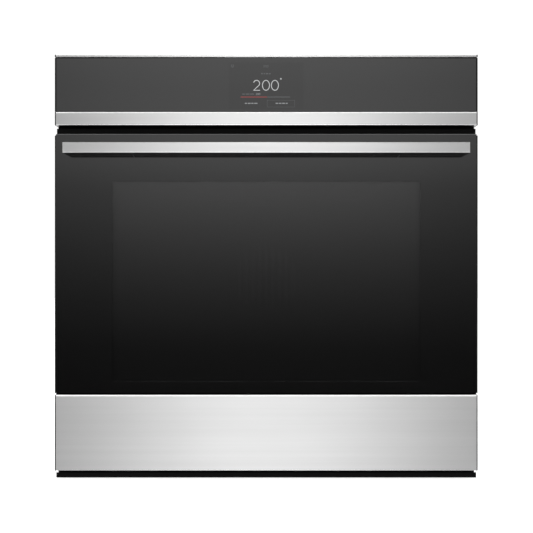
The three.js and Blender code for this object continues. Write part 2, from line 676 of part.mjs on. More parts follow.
// ---------------------------------------------------------------- door
const NOTCH = { near: 251.5, far: 266.5 }; // where the hinge arm passes through the door's lower edge

function outerGlass() {
  const corner = 2;
  const outline = new THREE.Shape();
  outline.moveTo(-HALF, DOOR_SPLIT + SPLIT_GAP);
  outline.lineTo(HALF, DOOR_SPLIT + SPLIT_GAP);
  outline.lineTo(HALF, DOOR_TOP - corner);
  outline.quadraticCurveTo(HALF, DOOR_TOP, HALF - corner, DOOR_TOP);
  outline.lineTo(-HALF + corner, DOOR_TOP);
  outline.quadraticCurveTo(-HALF, DOOR_TOP, -HALF, DOOR_TOP - corner);
  return alongY(outline, F, F + GLASS);
}

// Stainless steel tray, open at the back.
function lowerPanel() {
  const [y1, z1] = [F + 12, DOOR_SPLIT];
  const tray = block([-HALF, HALF], [F, y1], [DOOR_BOTTOM, z1]);
  const inside = block([-HALF + THIN, HALF - THIN], [F + THIN, y1 + 1], [DOOR_BOTTOM + THIN, z1 - THIN]);
  const armNotches = both((side) =>
    block(span(side, NOTCH.near, NOTCH.far), [F + 2.5, y1 + 1], [DOOR_BOTTOM - 1, DOOR_BOTTOM + 3]),
  );
  const railNotches = both((side) =>
    block(span(side, RAIL.x0 - 1, RAIL.x1 + 1), [RAIL.y0 - FIT, y1 + 1], [z1 - 3, z1 + 1]),
  );
  return cut(tray, inside, armNotches, railNotches);
}

// Rectangular tube up the side of the door. Below it, two ears carry the hinge pin on either side of the arm.
function sideRail() {
  const { x0, x1, y0, y1, z1 } = RAIL;
  const wall = FRAME_SHEET;
  const bottom = HINGE.z + 7.5;
  const tube = cut(
    block([x0, x1], [y0, y1], [bottom, z1]),
    block([x0 + wall, x1 - wall], [y0 + wall, y1 - wall], [bottom - 1, z1 + 1]),
  );
  const ear = (x) =>
    join(
      rod([x, HINGE.y, HINGE.z], [x + wall, HINGE.y, HINGE.z], 5.5, 16),
      block([x, x + wall], [HINGE.y - 4, HINGE.y + 5.5], [HINGE.z, bottom + 1]),
    );
  const hole = rod([x0 - 5, HINGE.y, HINGE.z], [x1 + 5, HINGE.y, HINGE.z], HINGE.pin + 0.5, 12);
  return cut(join(tube, ear(x0), ear(x1 - wall)), hole);
}

function bottomRail() {
  const x = [-RAIL.x0 + 0.5, RAIL.x0 - 0.5];
  return join(
    block(x, [RAIL.y0 + 8, RAIL.y0 + 8 + SHEET], [16, 40]),
    block(x, [RAIL.y0 + 8, DOOR_BACK], [16, 16 + SHEET]),
    block(x, [DOOR_BACK - SHEET, DOOR_BACK], [16, 61.5]),
  );
}

// Tube across the top of the door, with air slots on top and the lock's slot at the back.
function topRail() {
  const { z0, z1 } = TOP_RAIL;
  const tube = cut(
    block([-RAIL.x1, RAIL.x1], [RAIL.y0, DOOR_BACK], [z0, z1]),
    block([-RAIL.x1 - 1, RAIL.x1 + 1], [RAIL.y0 + SHEET, DOOR_BACK - SHEET], [z0 + SHEET, z1 - SHEET]),
  );
  const lockSlot = block([-9, 13], [DOOR_BACK - 5, DOOR_BACK + 5], [LOCK.z - 3, LOCK.z + 3]);
  const airSlots = [-210, -150, -90, 90, 150, 210].map((x) =>
    block([x - 22, x + 22], [F + 16, F + 26], [z1 - 3, z1 + 3]),
  );
  return cut(tube, lockSlot, airSlots);
}

// Bar with a channel down its back, closed at both ends.
// Between the posts its lower wall runs back to the glass.
function handleBar() {
  const { x, z0, z1, depth, wall, post } = HANDLE;
  const [y0, y1] = [F - HANDLE_REACH, F - HANDLE_REACH + depth];
  const channel = block([-x + 20, x - 20], [y0 + wall, y1 + 1], [z0 + wall, z1 - wall]);
  const floor = block([post + FIT - x, x - post - FIT], [y1 - 1, F - FIT], [z0, z0 + wall]);
  return join(cut(block([-x, x], [y0, y1], [z0, z1]), channel), floor);
}

add("door_outer_glass", outerGlass(), BLACK_GLASS, door);
add("door_lower_panel", lowerPanel(), STAINLESS, door);
addPair("door_side_rail", sideRail(), GALVANISED, door);
add("door_bottom_rail", bottomRail(), GALVANISED, door);
add("door_top_rail", topRail(), BLACK_ENAMEL, door);
add("door_middle_glass", block([-244, 244], [F + 17, F + 20], [60, 462]), CLEAR_GLASS, door);
add("door_inner_glass", block([-264, 264], [F + 34, DOOR_BACK], [62, 466]), CLEAR_GLASS, door);
add("handle_bar", handleBar(), STAINLESS, door);
addPair(
  "handle_post",
  block(
    [HANDLE.x - HANDLE.post, HANDLE.x],
    [F - HANDLE_REACH + HANDLE.depth + FIT, F - FIT],
    [HANDLE.z0, HANDLE.z1],
  ),
  STAINLESS,
  door,
);

export default oven;
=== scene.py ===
"""The looks of a built-in wall oven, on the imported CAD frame. Metres; the front faces -Y and +Z is up."""
import json
import math

import bmesh
import bpy
from mathutils import Matrix, Vector


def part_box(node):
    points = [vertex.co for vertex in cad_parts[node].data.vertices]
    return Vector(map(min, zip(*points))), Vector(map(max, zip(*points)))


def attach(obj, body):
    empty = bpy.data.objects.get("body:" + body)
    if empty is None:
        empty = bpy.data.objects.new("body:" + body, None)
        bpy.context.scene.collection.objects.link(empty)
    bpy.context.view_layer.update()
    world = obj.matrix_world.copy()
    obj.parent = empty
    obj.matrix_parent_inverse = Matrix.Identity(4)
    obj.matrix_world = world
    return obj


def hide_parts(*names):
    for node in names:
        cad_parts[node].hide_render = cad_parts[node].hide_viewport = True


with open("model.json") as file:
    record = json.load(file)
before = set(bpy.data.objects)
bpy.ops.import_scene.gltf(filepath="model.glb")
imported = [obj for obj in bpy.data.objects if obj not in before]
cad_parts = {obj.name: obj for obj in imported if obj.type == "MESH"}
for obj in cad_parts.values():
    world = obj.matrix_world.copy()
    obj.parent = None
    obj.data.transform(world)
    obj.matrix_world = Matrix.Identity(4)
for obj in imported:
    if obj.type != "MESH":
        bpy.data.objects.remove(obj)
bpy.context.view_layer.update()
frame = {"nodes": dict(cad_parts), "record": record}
MM = 0.001
SIDES = ((1, "right"), (-1, "left"))

# ---------------- places, from the CAD
GLASS_LOW, GLASS_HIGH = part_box("door_outer_glass")
PANEL_LOW, PANEL_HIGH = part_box("control_panel_housing")
CONTROL_LOW, CONTROL_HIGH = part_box("control_glass")
STEEL_LOW, STEEL_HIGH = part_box("door_lower_panel")
FRONT = GLASS_LOW.y  # plane of the door's and the panel's glass
HALF = GLASS_HIGH.x

# ---------------- sizes
SHEET = 1.2 * MM  # thickness of the control panel's steel
EDGE = 1.6 * MM  # the cut ends of the steel, and the ground sides of the glass
CUT_ENDS = ((HALF - EDGE, HALF), (-HALF, -HALF + EDGE))
LIP = CONTROL_HIGH.z + 0.15 * MM  # underside of the steel over the panel's glass
STRIP = CONTROL_LOW.z - 0.45 * MM  # top of the steel under it
GLASS_REVEAL = 1.0 * MM  # dark line between the lip and the glass below it
SCREEN_TOP, SCREEN_BOTTOM, SCREEN_HALF = 587.0 * MM, 521.5 * MM, 52.5 * MM
TRAY_HOLE = 59 * MM  # half the width of the hole behind the screen
WINDOW = {"half": 217 * MM, "bottom": 137.1 * MM, "top": 419.1 * MM}  # clear part of the printed door glass
HINGE_NOTCH = (251.5 * MM, 266.5 * MM)  # inner and outer side of the notch for a hinge arm
RACK_LEVELS = (123 * MM, 177 * MM, 231 * MM, 285 * MM, 339 * MM)
RACK_HALF_GAP = 6 * MM
SHELF_BARS, SHELF_PITCH = 15, 26 * MM
FAN_BLADES, BLOWER_BLADES, BLOWER_RINGS = 20, 28, 5


# ---------------- meshes
def to_object(bm, name, material, smooth=30):
    """The bmesh as a piece, smooth across edges that turn by less than so many degrees."""
    bmesh.ops.recalc_face_normals(bm, faces=bm.faces)
    for face in bm.faces:
        face.smooth = True
    for edge in bm.edges:
        edge.smooth = edge.is_manifold and edge.calc_face_angle(0) < math.radians(smooth)
    mesh = bpy.data.meshes.new(name)
    bm.to_mesh(mesh)
    bm.free()
    mesh.materials.append(material)
    piece = bpy.data.objects.new(name, mesh)
    bpy.context.scene.collection.objects.link(piece)
    return piece


def level_normals(piece):
    """Keeps broad faces looking flat right up to their rounded edges."""
    weigh = piece.modifiers.new("level_normals", "WEIGHTED_NORMAL")
    weigh.weight = 100
    weigh.keep_sharp = True


def ease_edges(piece, width, angle, segments=1):
    """Breaks the edges of a piece that turn by more than so many degrees."""
    edge = piece.modifiers.new("eased_edges", "BEVEL")
    edge.width = width
    edge.segments = segments
    edge.limit_method = "ANGLE"
    edge.angle_limit = math.radians(angle)


def add_box(bm, low, high, radius=0.0, segments=3):
    """A block with rounded edges."""
    low, high = Vector(low), Vector(high)
    size = high - low
    matrix = Matrix.Translation((low + high) / 2) @ Matrix.Diagonal((*size, 1))
    made = bmesh.ops.create_cube(bm, size=1.0, matrix=matrix)
    if radius > 0:
        edges = {e for v in made["verts"] for e in v.link_edges}
        radius = min(radius, min(size) * 0.49)
        bmesh.ops.bevel(bm, geom=list(edges), offset=radius, segments=segments, profile=0.5, affect="EDGES")


def add_extrusion(bm, outline, axis, start, end):
    """A flat outline drawn out along an axis. Its points are the two other coordinates, in X, Y, Z order."""
    first, last = ([bm.verts.new((*p[:axis], along, *p[axis:])) for p in outline] for along in (start, end))
    bm.faces.new(first)
    bm.faces.new(last[::-1])
    for i, vert in enumerate(first):
        j = (i + 1) % len(first)
        bm.faces.new((vert, first[j], last[j], last[i]))


def rounded(outline, radius, steps=4):
    """The outline with each corner cut to a round of that radius, or of the radius given with the corner."""
    points = []
    for i, corner in enumerate(outline):
        r = corner[2] if len(corner) > 2 else radius
        here = Vector(corner[:2])
        before = Vector(outline[i - 1][:2]) - here
        after = Vector(outline[(i + 1) % len(outline)][:2]) - here
        r = min(r, before.length * 0.49, after.length * 0.49)
        a, b = here + before.normalized() * r, here + after.normalized() * r
        for k in range(steps + 1 if r > 0 else 1):
            t = k / steps
            points.append(tuple(a * (1 - t) ** 2 + here * 2 * t * (1 - t) + b * t**2))
    return points


def add_tube(bm, path, radius, sides=10, closed=False):
    """A round bar along a path of points."""
    points = [Vector(p) for p in path]
    count = len(points)
    rings = []
    normal = None
    for i, point in enumerate(points):
        before = points[i - 1] if closed or i else point
        after = points[(i + 1) % count] if closed or i < count - 1 else point
        along = (after - before).normalized()
        if normal is None:
            normal = along.orthogonal().normalized()
        normal = (normal - along * normal.dot(along)).normalized()
        across = along.cross(normal)
        angles = [2 * math.pi * k / sides for k in range(sides)]
        spokes = [normal * math.cos(a) + across * math.sin(a) for a in angles]
        rings.append([bm.verts.new(point + spoke * radius) for spoke in spokes])
    for i in range(count if closed else count - 1):
        ring, following = rings[i], rings[(i + 1) % count]
        shift = nearest_turn(ring, following) if closed and i == count - 1 else 0
        for k in range(sides):
            n = (k + 1) % sides
            bm.faces.new((ring[k], ring[n], following[(n + shift) % sides], following[(k + shift) % sides]))
    if not closed:
        bm.faces.new(rings[0][::-1])
        bm.faces.new(rings[-1])


def nearest_turn(ring, following):
    """How many places the last ring of a closed tube is turned from the first."""
    distances = [(following[k].co - ring[0].co).length for k in range(len(following))]
    return distances.index(min(distances))


def bends(corners, radius, steps=6):
    """Straight runs through the corners, with a round bend at each."""
    points = [Vector(c) for c in corners]
    path = [points[0]]
    for i in range(1, len(points) - 1):
        here = points[i]
        a = here + (points[i - 1] - here).normalized() * radius
        b = here + (points[i + 1] - here).normalized() * radius
        for k in range(steps + 1):
            t = k / steps
            path.append(a * (1 - t) ** 2 + here * 2 * t * (1 - t) + b * t**2)
    path.append(points[-1])
    return path


def add_lathe(bm, profile, centre, axis, sides=32):
    """A profile of (radius, distance along the axis) turned about the axis through a centre."""
    axis = Vector(axis).normalized()
    across = axis.orthogonal().normalized()
    up = axis.cross(across)
    rings = []
    for radius, along in profile:
        middle = Vector(centre) + axis * along
        if radius < 1e-7:
            rings.append([bm.verts.new(middle)])
            continue
        angles = [2 * math.pi * k / sides for k in range(sides)]
        spokes = [across * math.cos(a) + up * math.sin(a) for a in angles]
        rings.append([bm.verts.new(middle + spoke * radius) for spoke in spokes])
    for ring, following in zip(rings, rings[1:]):
        for k in range(sides):
            n = (k + 1) % sides
            if len(ring) == 1:
                bm.faces.new((ring[0], following[n], following[k]))
            elif len(following) == 1:
                bm.faces.new((ring[k], ring[n], following[0]))
            else:
                bm.faces.new((ring[k], ring[n], following[n], following[k]))


def rectangle(low, high, *radii):
    """The corners of a box seen from the front, from the lower left round, with their radii if given."""
    corners = [(low.x, low.z), (high.x, low.z), (high.x, high.z), (low.x, high.z)]
    return [(*corner, radius) for corner, radius in zip(corners, radii)] if radii else corners


def in_mm(profile):
    """A profile given in millimetres."""
    return [(a * MM, b * MM) for a, b in profile]


def circle(radius, centre, count=72):
    """Points round a centre, in a plane that faces the front."""
    turns = [math.radians(360 * i / count) for i in range(count)]
    return [Vector(centre) + Vector((radius * math.sin(a), 0, radius * math.cos(a))) for a in turns]


def blade(turn, centre, inner, outer, half_thickness, lean, steps):
    """The outline of a thin curved blade between two radii. Its lean grows as a power of the way out."""
    angle_out, power = lean
    edges = []
    for offset in (-half_thickness, half_thickness):
        line = []
        for k in range(steps + 1):
            share = k / steps
            r = inner + (outer - inner) * share
            angle = turn + angle_out * share**power + offset / r
            line.append((centre[0] + r * math.cos(angle), centre[1] + r * math.sin(angle)))
        edges.append(line)
    return edges[0] + edges[1][::-1]


def refinish(piece, material, chosen):
    """Another material on the faces whose normals are chosen: here painted highlights and painted shade."""
    piece.data.materials.append(material)
    last = len(piece.data.materials) - 1
    for face in piece.data.polygons:
        if chosen(face.normal):
            face.material_index = last


def place(piece, body, node=None):
    """Puts a piece on its body, evens its normals, and hides the CAD node it stands for."""
    level_normals(piece)
    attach(piece, body)
    if node:
        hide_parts(node)


def finish(bm, name, slot, node=None, body="chassis", look=None, smooth=40, edges=()):
    """Makes the bmesh a piece with the look of its slot or another one, and other looks on chosen faces."""
    piece = to_object(bm, name, look or SLOT_LOOKS[slot], smooth)
    for material, chosen in edges:
        refinish(piece, material, chosen)
    place(piece, body, node)
    return piece


# ---------------- material helpers
def grey(value):
    return (value, value, value)


class Nodes:
    """A node tree, with short ways to add the nodes used here."""

    def __init__(self, tree):
        self.tree = tree

    def node(self, kind, inputs=(), **settings):
        made = self.tree.nodes.new("ShaderNode" + kind)
        for key, value in settings.items():
            setattr(made, key, value)
        for socket, value in dict(inputs).items():
            if isinstance(value, bpy.types.NodeSocket):
                self.tree.links.new(value, made.inputs[socket])
            else:
                made.inputs[socket].default_value = value
        return made

    def math(self, operation, *values, clamp=False):
        return self.node("Math", dict(enumerate(values)), operation=operation, use_clamp=clamp).outputs[0]

    def ramp(self, value, *stops):
        """A grey or coloured ramp through (position, value) stops."""
        made = self.node("ValToRGB", {"Fac": value})
        elements = made.color_ramp.elements
        while len(elements) < len(stops):
            elements.new(0.5)
        for element, (position, colour) in zip(elements, stops):
            element.position = position
            element.color = (*(colour if hasattr(colour, "__len__") else grey(colour)), 1)
        return made.outputs["Color"]


class Paint(Nodes):
    """A material's nodes."""

    def __init__(self, name, **sockets):
        self.material = bpy.data.materials.new(name)
        self.material.use_nodes = True
        super().__init__(self.material.node_tree)
        self.shader = self.tree.nodes["Principled BSDF"]
        for socket, value in sockets.items():
            self.shader.inputs[socket.replace("_", " ")].default_value = value

    def where(self, scale=(1, 1, 1)):
        """The place in the piece's frame, stretched."""
        spot = self.node("TexCoord").outputs["Object"]
        return self.node("Mapping", {"Vector": spot, "Scale": scale}).outputs["Vector"]

    def noise(self, scale, stretch=(1, 1, 1), detail=3.0, roughness=0.5):
        inputs = {"Vector": self.where(stretch), "Scale": scale, "Detail": detail, "Roughness": roughness}
        return self.node("TexNoise", inputs).outputs["Fac"]

    def cells(self, scale, output="Distance"):
        return self.node("TexVoronoi", {"Vector": self.where(), "Scale": scale}).outputs[output]

    def mix(self, factor, a, b):
        """Colour a where factor is 0 and b where it is 1."""
        a, b = (c if isinstance(c, bpy.types.NodeSocket) else (*c, 1) for c in (a, b))
        return self.node("MixRGB", {"Fac": factor, "Color1": a, "Color2": b}).outputs["Color"]

    def bump(self, height, strength, distance=0.0002):
        made = self.node("Bump", {"Height": height, "Strength": strength, "Distance": distance})
        self.link(made.outputs["Normal"], "Normal")

    def link(self, output, socket):
        self.tree.links.new(output, self.shader.inputs[socket])

    def colour(self, output):
        self.link(output, "Base Color")

    def rough(self, value, spread, least):
        """Roughness from the least upwards, as the value goes from 0 to 1."""
        self.link(self.math("MULTIPLY_ADD", value, spread, least), "Roughness")


def looks_down(normal):
    return normal.z < -0.8


def on_upper_edge(normal):
    """The rounded edge between the front and the top."""
    return normal.y < -0.08 and normal.z > 0.08


def on_lower_edge(normal):
    """The rounded edge between the front and the bottom."""
    return normal.y < -0.08 and normal.z < -0.15


# ---------------- materials
def brushed_steel(name, along=0, tone=0.60):
    """Stainless steel with a fine grain along an axis, faint long streaks and a few fingermarks."""
    paint = Paint(name, Metallic=1.0, Anisotropic=0.95, Anisotropic_Rotation=0.25)
    fine = [1400.0] * 3
    fine[along] = 9.0
    broad = [160.0] * 3
    broad[along] = 1.6
    grain = paint.noise(1.0, fine, detail=4.0, roughness=0.7)
    streak = paint.noise(1.0, broad, detail=3.0)
    smear = paint.noise(9.0, detail=4.0)
    base = paint.mix(paint.ramp(streak, (0.3, 0.0), (0.7, 1.0)), grey(tone * 0.965), grey(tone * 1.02))
    base = paint.mix(paint.math("MULTIPLY", grain, 0.12), base, grey(tone * 0.75))
    paint.colour(base)
    rough = paint.math("MULTIPLY_ADD", grain, 0.10, 0.35)
    paint.rough(smear, 0.06, rough)
    paint.bump(grain, 0.16, 0.00002)
    tangent = paint.node("Tangent", direction_type="RADIAL", axis="Z")
    paint.link(tangent.outputs["Tangent"], "Tangent")
    return paint.material


def black_glass(name):
    """Glass printed black from behind: deep black, polished, with the faintest haze of wiping."""
    paint = Paint(name, Roughness=0.03, IOR=1.5)
    haze = paint.noise(14.0, (1, 1, 2.5), detail=5.0, roughness=0.6)
    paint.colour(paint.mix(haze, grey(0.0007), grey(0.0016)))
    paint.rough(haze, 0.035, 0.012)
    return paint.material


def pane(name, tint):
    """Clear glass that is looked through: a reflection at the surface over a tinted view."""
    paint = Paint(name)
    links = paint.tree.links
    output = paint.tree.nodes["Material Output"]
    paint.tree.nodes.remove(paint.shader)
    clear = paint.node("BsdfTransparent", {"Color": (*tint, 1)})
    haze = paint.noise(12.0, (1, 1, 2), detail=4.0)
    gloss = paint.node("BsdfGlossy", {"Color": (1, 1, 1, 1)})
    links.new(paint.math("MULTIPLY_ADD", haze, 0.03, 0.01), gloss.inputs["Roughness"])
    fresnel = paint.node("Fresnel", {"IOR": 1.5})
    mixed = paint.node("MixShader", {0: fresnel.outputs["Fac"], 1: clear.outputs[0], 2: gloss.outputs[0]})
    links.new(mixed.outputs[0], output.inputs["Surface"])
    return paint.material


def enamel_paint(name, tone, gloss=0.05):
    """Satin powder coat with a fine orange peel."""
    paint = Paint(name, Specular_IOR_Level=gloss)
    peel = paint.noise(900.0, detail=2.0)
    cloud = paint.noise(12.0, detail=4.0)
    paint.colour(paint.mix(cloud, grey(tone * 0.8), grey(tone * 1.25)))
    paint.rough(cloud, 0.14, 0.55)
    paint.bump(peel, 0.25, 0.00005)
    return paint.material


def cavity_enamel(name):
    """Glossy dark vitreous enamel with fine pale specks and a slow ripple."""
    paint = Paint(name, Coat_Weight=0.5, Coat_Roughness=0.06)
    speck = paint.ramp(paint.cells(420.0), (0.10, 1.0), (0.17, 0.0))
    sparse = paint.ramp(paint.noise(130.0, detail=2.0), (0.50, 0.0), (0.56, 1.0))
    ripple = paint.noise(24.0, detail=3.0)
    base = paint.mix(ripple, (0.010, 0.011, 0.015), (0.018, 0.020, 0.026))
    paint.colour(paint.mix(paint.math("MULTIPLY", speck, sparse), base, (0.24, 0.25, 0.28)))
    paint.rough(ripple, 0.12, 0.16)
    paint.bump(ripple, 0.22, 0.0012)
    return paint.material


def galvanised(name):
    """Zinc-coated sheet: dull, with crystal spangle and faint rolling lines."""
    paint = Paint(name, Metallic=0.92)
    spangle = paint.cells(95.0, output="Color")
    shade = paint.node("SeparateColor", {"Color": spangle}).outputs[0]
    rolled = paint.noise(1.0, (6, 6, 260), detail=3.0)
    base = paint.mix(shade, (0.37, 0.385, 0.40), (0.50, 0.515, 0.53))
    base = paint.mix(paint.math("MULTIPLY", rolled, 0.25), base, (0.30, 0.31, 0.32))
    paint.colour(base)
    paint.rough(shade, 0.16, 0.33)
    paint.bump(shade, 0.10, 0.0001)
    return paint.material


def polished_metal(name, tone, roughness, tint=(1, 1, 1), metallic=1.0):
    """Plated or bare metal with slight waviness and dull patches."""
    paint = Paint(name, Metallic=metallic)
    patches = paint.noise(40.0, detail=5.0, roughness=0.65)
    light = [tone * t for t in tint]
    paint.colour(paint.mix(patches, light, [v * 0.86 for v in light]))
    paint.rough(patches, 0.14, roughness - 0.05)
    paint.bump(patches, 0.05, 0.0005)
    return paint.material


def heater_sheath(name):
    """Oxidised tubular heater: brown-black with blotches of heat tint."""
    paint = Paint(name, Metallic=0.75)
    blotch = paint.noise(35.0, detail=5.0, roughness=0.6)
    grit = paint.noise(800.0, detail=2.0)
    tints = (0.30, (0.045, 0.040, 0.038)), (0.55, (0.10, 0.082, 0.068)), (0.75, (0.15, 0.13, 0.13))
    paint.colour(paint.ramp(blotch, *tints))
    paint.rough(grit, 0.25, 0.42)
    paint.bump(grit, 0.3, 0.0001)
    return paint.material


def moulded_plastic(name, colour):
    """Moulded plastic with a fine spark-eroded grain."""
    paint = Paint(name, Roughness=0.5)
    grain = paint.noise(1500.0, detail=2.0)
    cloud = paint.noise(18.0, detail=3.0)
    paint.colour(paint.mix(cloud, [v * 0.85 for v in colour], [v * 1.2 for v in colour]))
    paint.rough(grain, 0.2, 0.42)
    paint.bump(grain, 0.35, 0.00008)
    return paint.material


def circuit_board(name):
    """Green solder mask with lighter tracks."""
    paint = Paint(name, Roughness=0.35)
    grid = {"Vector": paint.where((160, 160, 160)), "Scale": 1.0}
    grid |= {"Mortar Size": 0.07, "Brick Width": 1.6, "Row Height": 0.5}
    tracks = paint.node("TexBrick", grid).outputs["Fac"]
    cloud = paint.noise(60.0)
    base = paint.mix(tracks, (0.012, 0.085, 0.035), (0.035, 0.17, 0.07))
    paint.colour(paint.mix(paint.math("MULTIPLY", cloud, 0.3), base, (0.01, 0.05, 0.025)))
    paint.bump(tracks, 0.3, 0.0001)
    return paint.material


def mineral_wool(name):
    """Yellowish glass wool: matted fibres of uneven tone, with painted shade in the hollows."""
    paint = Paint(name, Roughness=1.0, Sheen_Weight=0.3)
    fibres = paint.noise(160.0, (1, 1, 4), detail=8.0, roughness=0.75)
    clumps = paint.noise(22.0, detail=5.0)
    # The fibres' colour follows their bump: darker where it sinks, as painted shade, lighter where it stands
    # up.
    base = paint.ramp(fibres, (0.32, (0.36, 0.27, 0.11)), (0.68, (0.72, 0.62, 0.36)))
    paint.colour(paint.mix(paint.math("MULTIPLY", clumps, 0.5), base, (0.80, 0.72, 0.50)))
    paint.bump(fibres, 0.9, 0.002)
    return paint.material


def braid(name):
    """Woven glass-fibre seal: dark yarns that cross, with painted glints, lighter grey on the raised yarns."""
    paint = Paint(name, Roughness=0.75, Sheen_Weight=0.2)
    yarns = []
    for mirror in (1, -1):
        inputs = {"Vector": paint.where((mirror, 1, 1)), "Scale": 190.0, "Distortion": 0.6}
        yarns.append(paint.node("TexWave", inputs, bands_direction="DIAGONAL").outputs["Fac"])
    weave = paint.math("MAXIMUM", *yarns)
    # Lighter where the weave stands up: a painted highlight on the raised yarns.
    paint.colour(paint.ramp(weave, (0.35, grey(0.012)), (0.95, grey(0.085))))
    paint.bump(weave, 0.8, 0.0006)
    return paint.material


def lit(name, colour, strength):
    """A part of the display that shines, a little uneven as through a diffuser."""
    paint = Paint(name, Roughness=0.4, Emission_Strength=strength)
    uneven = paint.noise(300.0)
    paint.link(paint.mix(uneven, [v * 0.94 for v in colour], colour), "Emission Color")
    paint.colour(paint.mix(uneven, [v * 0.01 for v in colour], [v * 0.02 for v in colour]))
    return paint.material


SLOT_LOOKS = {
    "stainless_steel": brushed_steel("brushed_stainless_steel"),
    "black_glass": black_glass("printed_black_glass"),
    "clear_glass": pane("clear_pane", (0.90, 0.93, 0.92)),
    "black_enamel": enamel_paint("satin_black_enamel", 0.003),
    "cavity_enamel": cavity_enamel("speckled_cavity_enamel"),
    "galvanised_sheet": galvanised("galvanised_sheet"),
    "chromed_wire": polished_metal("chromed_wire", 0.66, 0.16),
    "aluminium_sheet": polished_metal("mill_aluminium", 0.60, 0.34, (1, 1, 1.01)),
    "heater_sheath": heater_sheath("oxidised_heater_sheath"),
    "black_plastic": moulded_plastic("black_moulded_plastic", (0.018, 0.018, 0.020)),
    "circuit_board": circuit_board("green_circuit_board"),
    "mineral_wool": mineral_wool("glass_wool"),
    "braided_seal": braid("braided_seal"),
}
WINDOW_GLASS = pane("tinted_door_window", grey(0.56))
COATED = pane("coated_middle_glass", grey(0.50))
LENS = pane("lamp_lens_glass", (0.86, 0.90, 0.90))
# The ground sides of the glass, painted near-black as shade along the ends and in the reveal under the lip.
GLASS_EDGE_SHADE = enamel_paint("glass_edge_painted_shade", 0.008, 0.03)
# Painted highlight: a pale satin finish on the rounded top edge of the door glass.
ARRIS_HIGHLIGHT = enamel_paint("glass_arris_painted_highlight", 0.14, 0.30)
# Painted shade: a near-black, unreflecting strip in the split between the door glass and the steel below it.
GAP_SHADE = enamel_paint("gap_painted_shade", 0.0006, 0.0)
# Painted shade: a darker steel put on the faces that look down, for the shade under the bar, posts, lip and
# panels.
UNDERSIDE_SHADE = polished_metal("underside_painted_shade_steel", 0.42, 0.22)
# Painted shade: a near-black steel on the cut ends of the panels, for the dark line along the oven's sides.
CUT_END_SHADE = polished_metal("steel_end_painted_shade", 0.05, 0.42)
# Painted highlight: a brighter, smoother steel on the rounded lower front edges.
LOWER_EDGE_HIGHLIGHT = polished_metal("lower_edge_painted_highlight", 0.94, 0.16)
# Painted highlight: a near-white, mostly matt finish on the rounded upper front edges.
UPPER_EDGE_HIGHLIGHT = polished_metal("upper_edge_painted_highlight", 0.98, 0.30, metallic=0.10)
ZINC_SCREW = polished_metal("zinc_plated_screw", 0.62, 0.30, (1, 1, 1.04))
BLACK_STEEL = polished_metal("blackened_screw", 0.05, 0.40)
# Painted shade on the faces that look down, and painted highlights on the rounded lower and upper front edges.
PAINTED_EDGE_LIGHT_AND_SHADE = ((UNDERSIDE_SHADE, looks_down), (LOWER_EDGE_HIGHLIGHT, on_lower_edge), (UPPER_EDGE_HIGHLIGHT, on_upper_edge))


def finish_cad_nodes():
    """Gives every CAD node the look of its slot, and breaks its sharp edges."""
    slot_of = {row["node"]: row["material_slot"] for row in frame["record"]["subparts"]}
    for name, node in frame["nodes"].items():
        node.data.materials.clear()
        node.data.materials.append(SLOT_LOOKS[slot_of[name]])
        ease_edges(node, 0.25 * MM, 50)
        level_normals(node)


# ---------------- control panel
def control_panel():
    """Folded steel round the glass: a thin lip above, a strip below, and the tray behind."""
    front, back = PANEL_LOW.y, PANEL_HIGH.y
    top, bottom = PANEL_HIGH.z, PANEL_LOW.z
    lip = [
        (back, top), (back, top - SHEET), (front + SHEET, top - SHEET), (front + SHEET, LIP), (front, LIP),
        (front, top, 0.7 * MM),
    ]
    bm = bmesh.new()
    add_extrusion(bm, rounded(lip, 0.12 * MM), 0, -HALF + EDGE, HALF - EDGE)
    finish(bm, "control_panel_lip", "stainless_steel", smooth=30, edges=PAINTED_EDGE_LIGHT_AND_SHADE[2:])
    ledge = front + 6.5 * MM
    strip = [
        (ledge, STRIP), (ledge, STRIP - SHEET), (front + SHEET, STRIP - SHEET, 0.2 * MM),
        (front + SHEET, bottom + SHEET, 0.2 * MM), (back, bottom + SHEET), (back, bottom),
        (front, bottom, 1.4 * MM), (front, STRIP, 1.4 * MM),
    ]
    bm = bmesh.new()
    add_extrusion(bm, rounded(strip, 0.1 * MM, steps=5), 0, -HALF + EDGE, HALF - EDGE)
    tray = front + 6.2 * MM
    for low, high in ((-HALF + SHEET, -TRAY_HOLE), (TRAY_HOLE, HALF - SHEET)):
        add_box(bm, (low, tray, bottom + SHEET), (high, tray + SHEET, top - SHEET), 0.2 * MM, 1)
    node = "control_panel_housing"
    finish(bm, "control_panel_steel", "stainless_steel", node, smooth=30, edges=PAINTED_EDGE_LIGHT_AND_SHADE)


def control_panel_ends():
    """The cut ends of the panel's steel, near-black as painted shade."""
    front, back = PANEL_LOW.y, PANEL_HIGH.y
    top, bottom = PANEL_HIGH.z, PANEL_LOW.z
    bm = bmesh.new()
    for left, right in CUT_ENDS:
        for start, low, high in ((front + 4.4 * MM, bottom, top), (front, bottom, STRIP), (front, LIP, top)):
            add_box(bm, (left, start, low), (right, back, high), 0.3 * MM, 2)
    finish(bm, "control_panel_ends", "stainless_steel", look=CUT_END_SHADE, smooth=30)


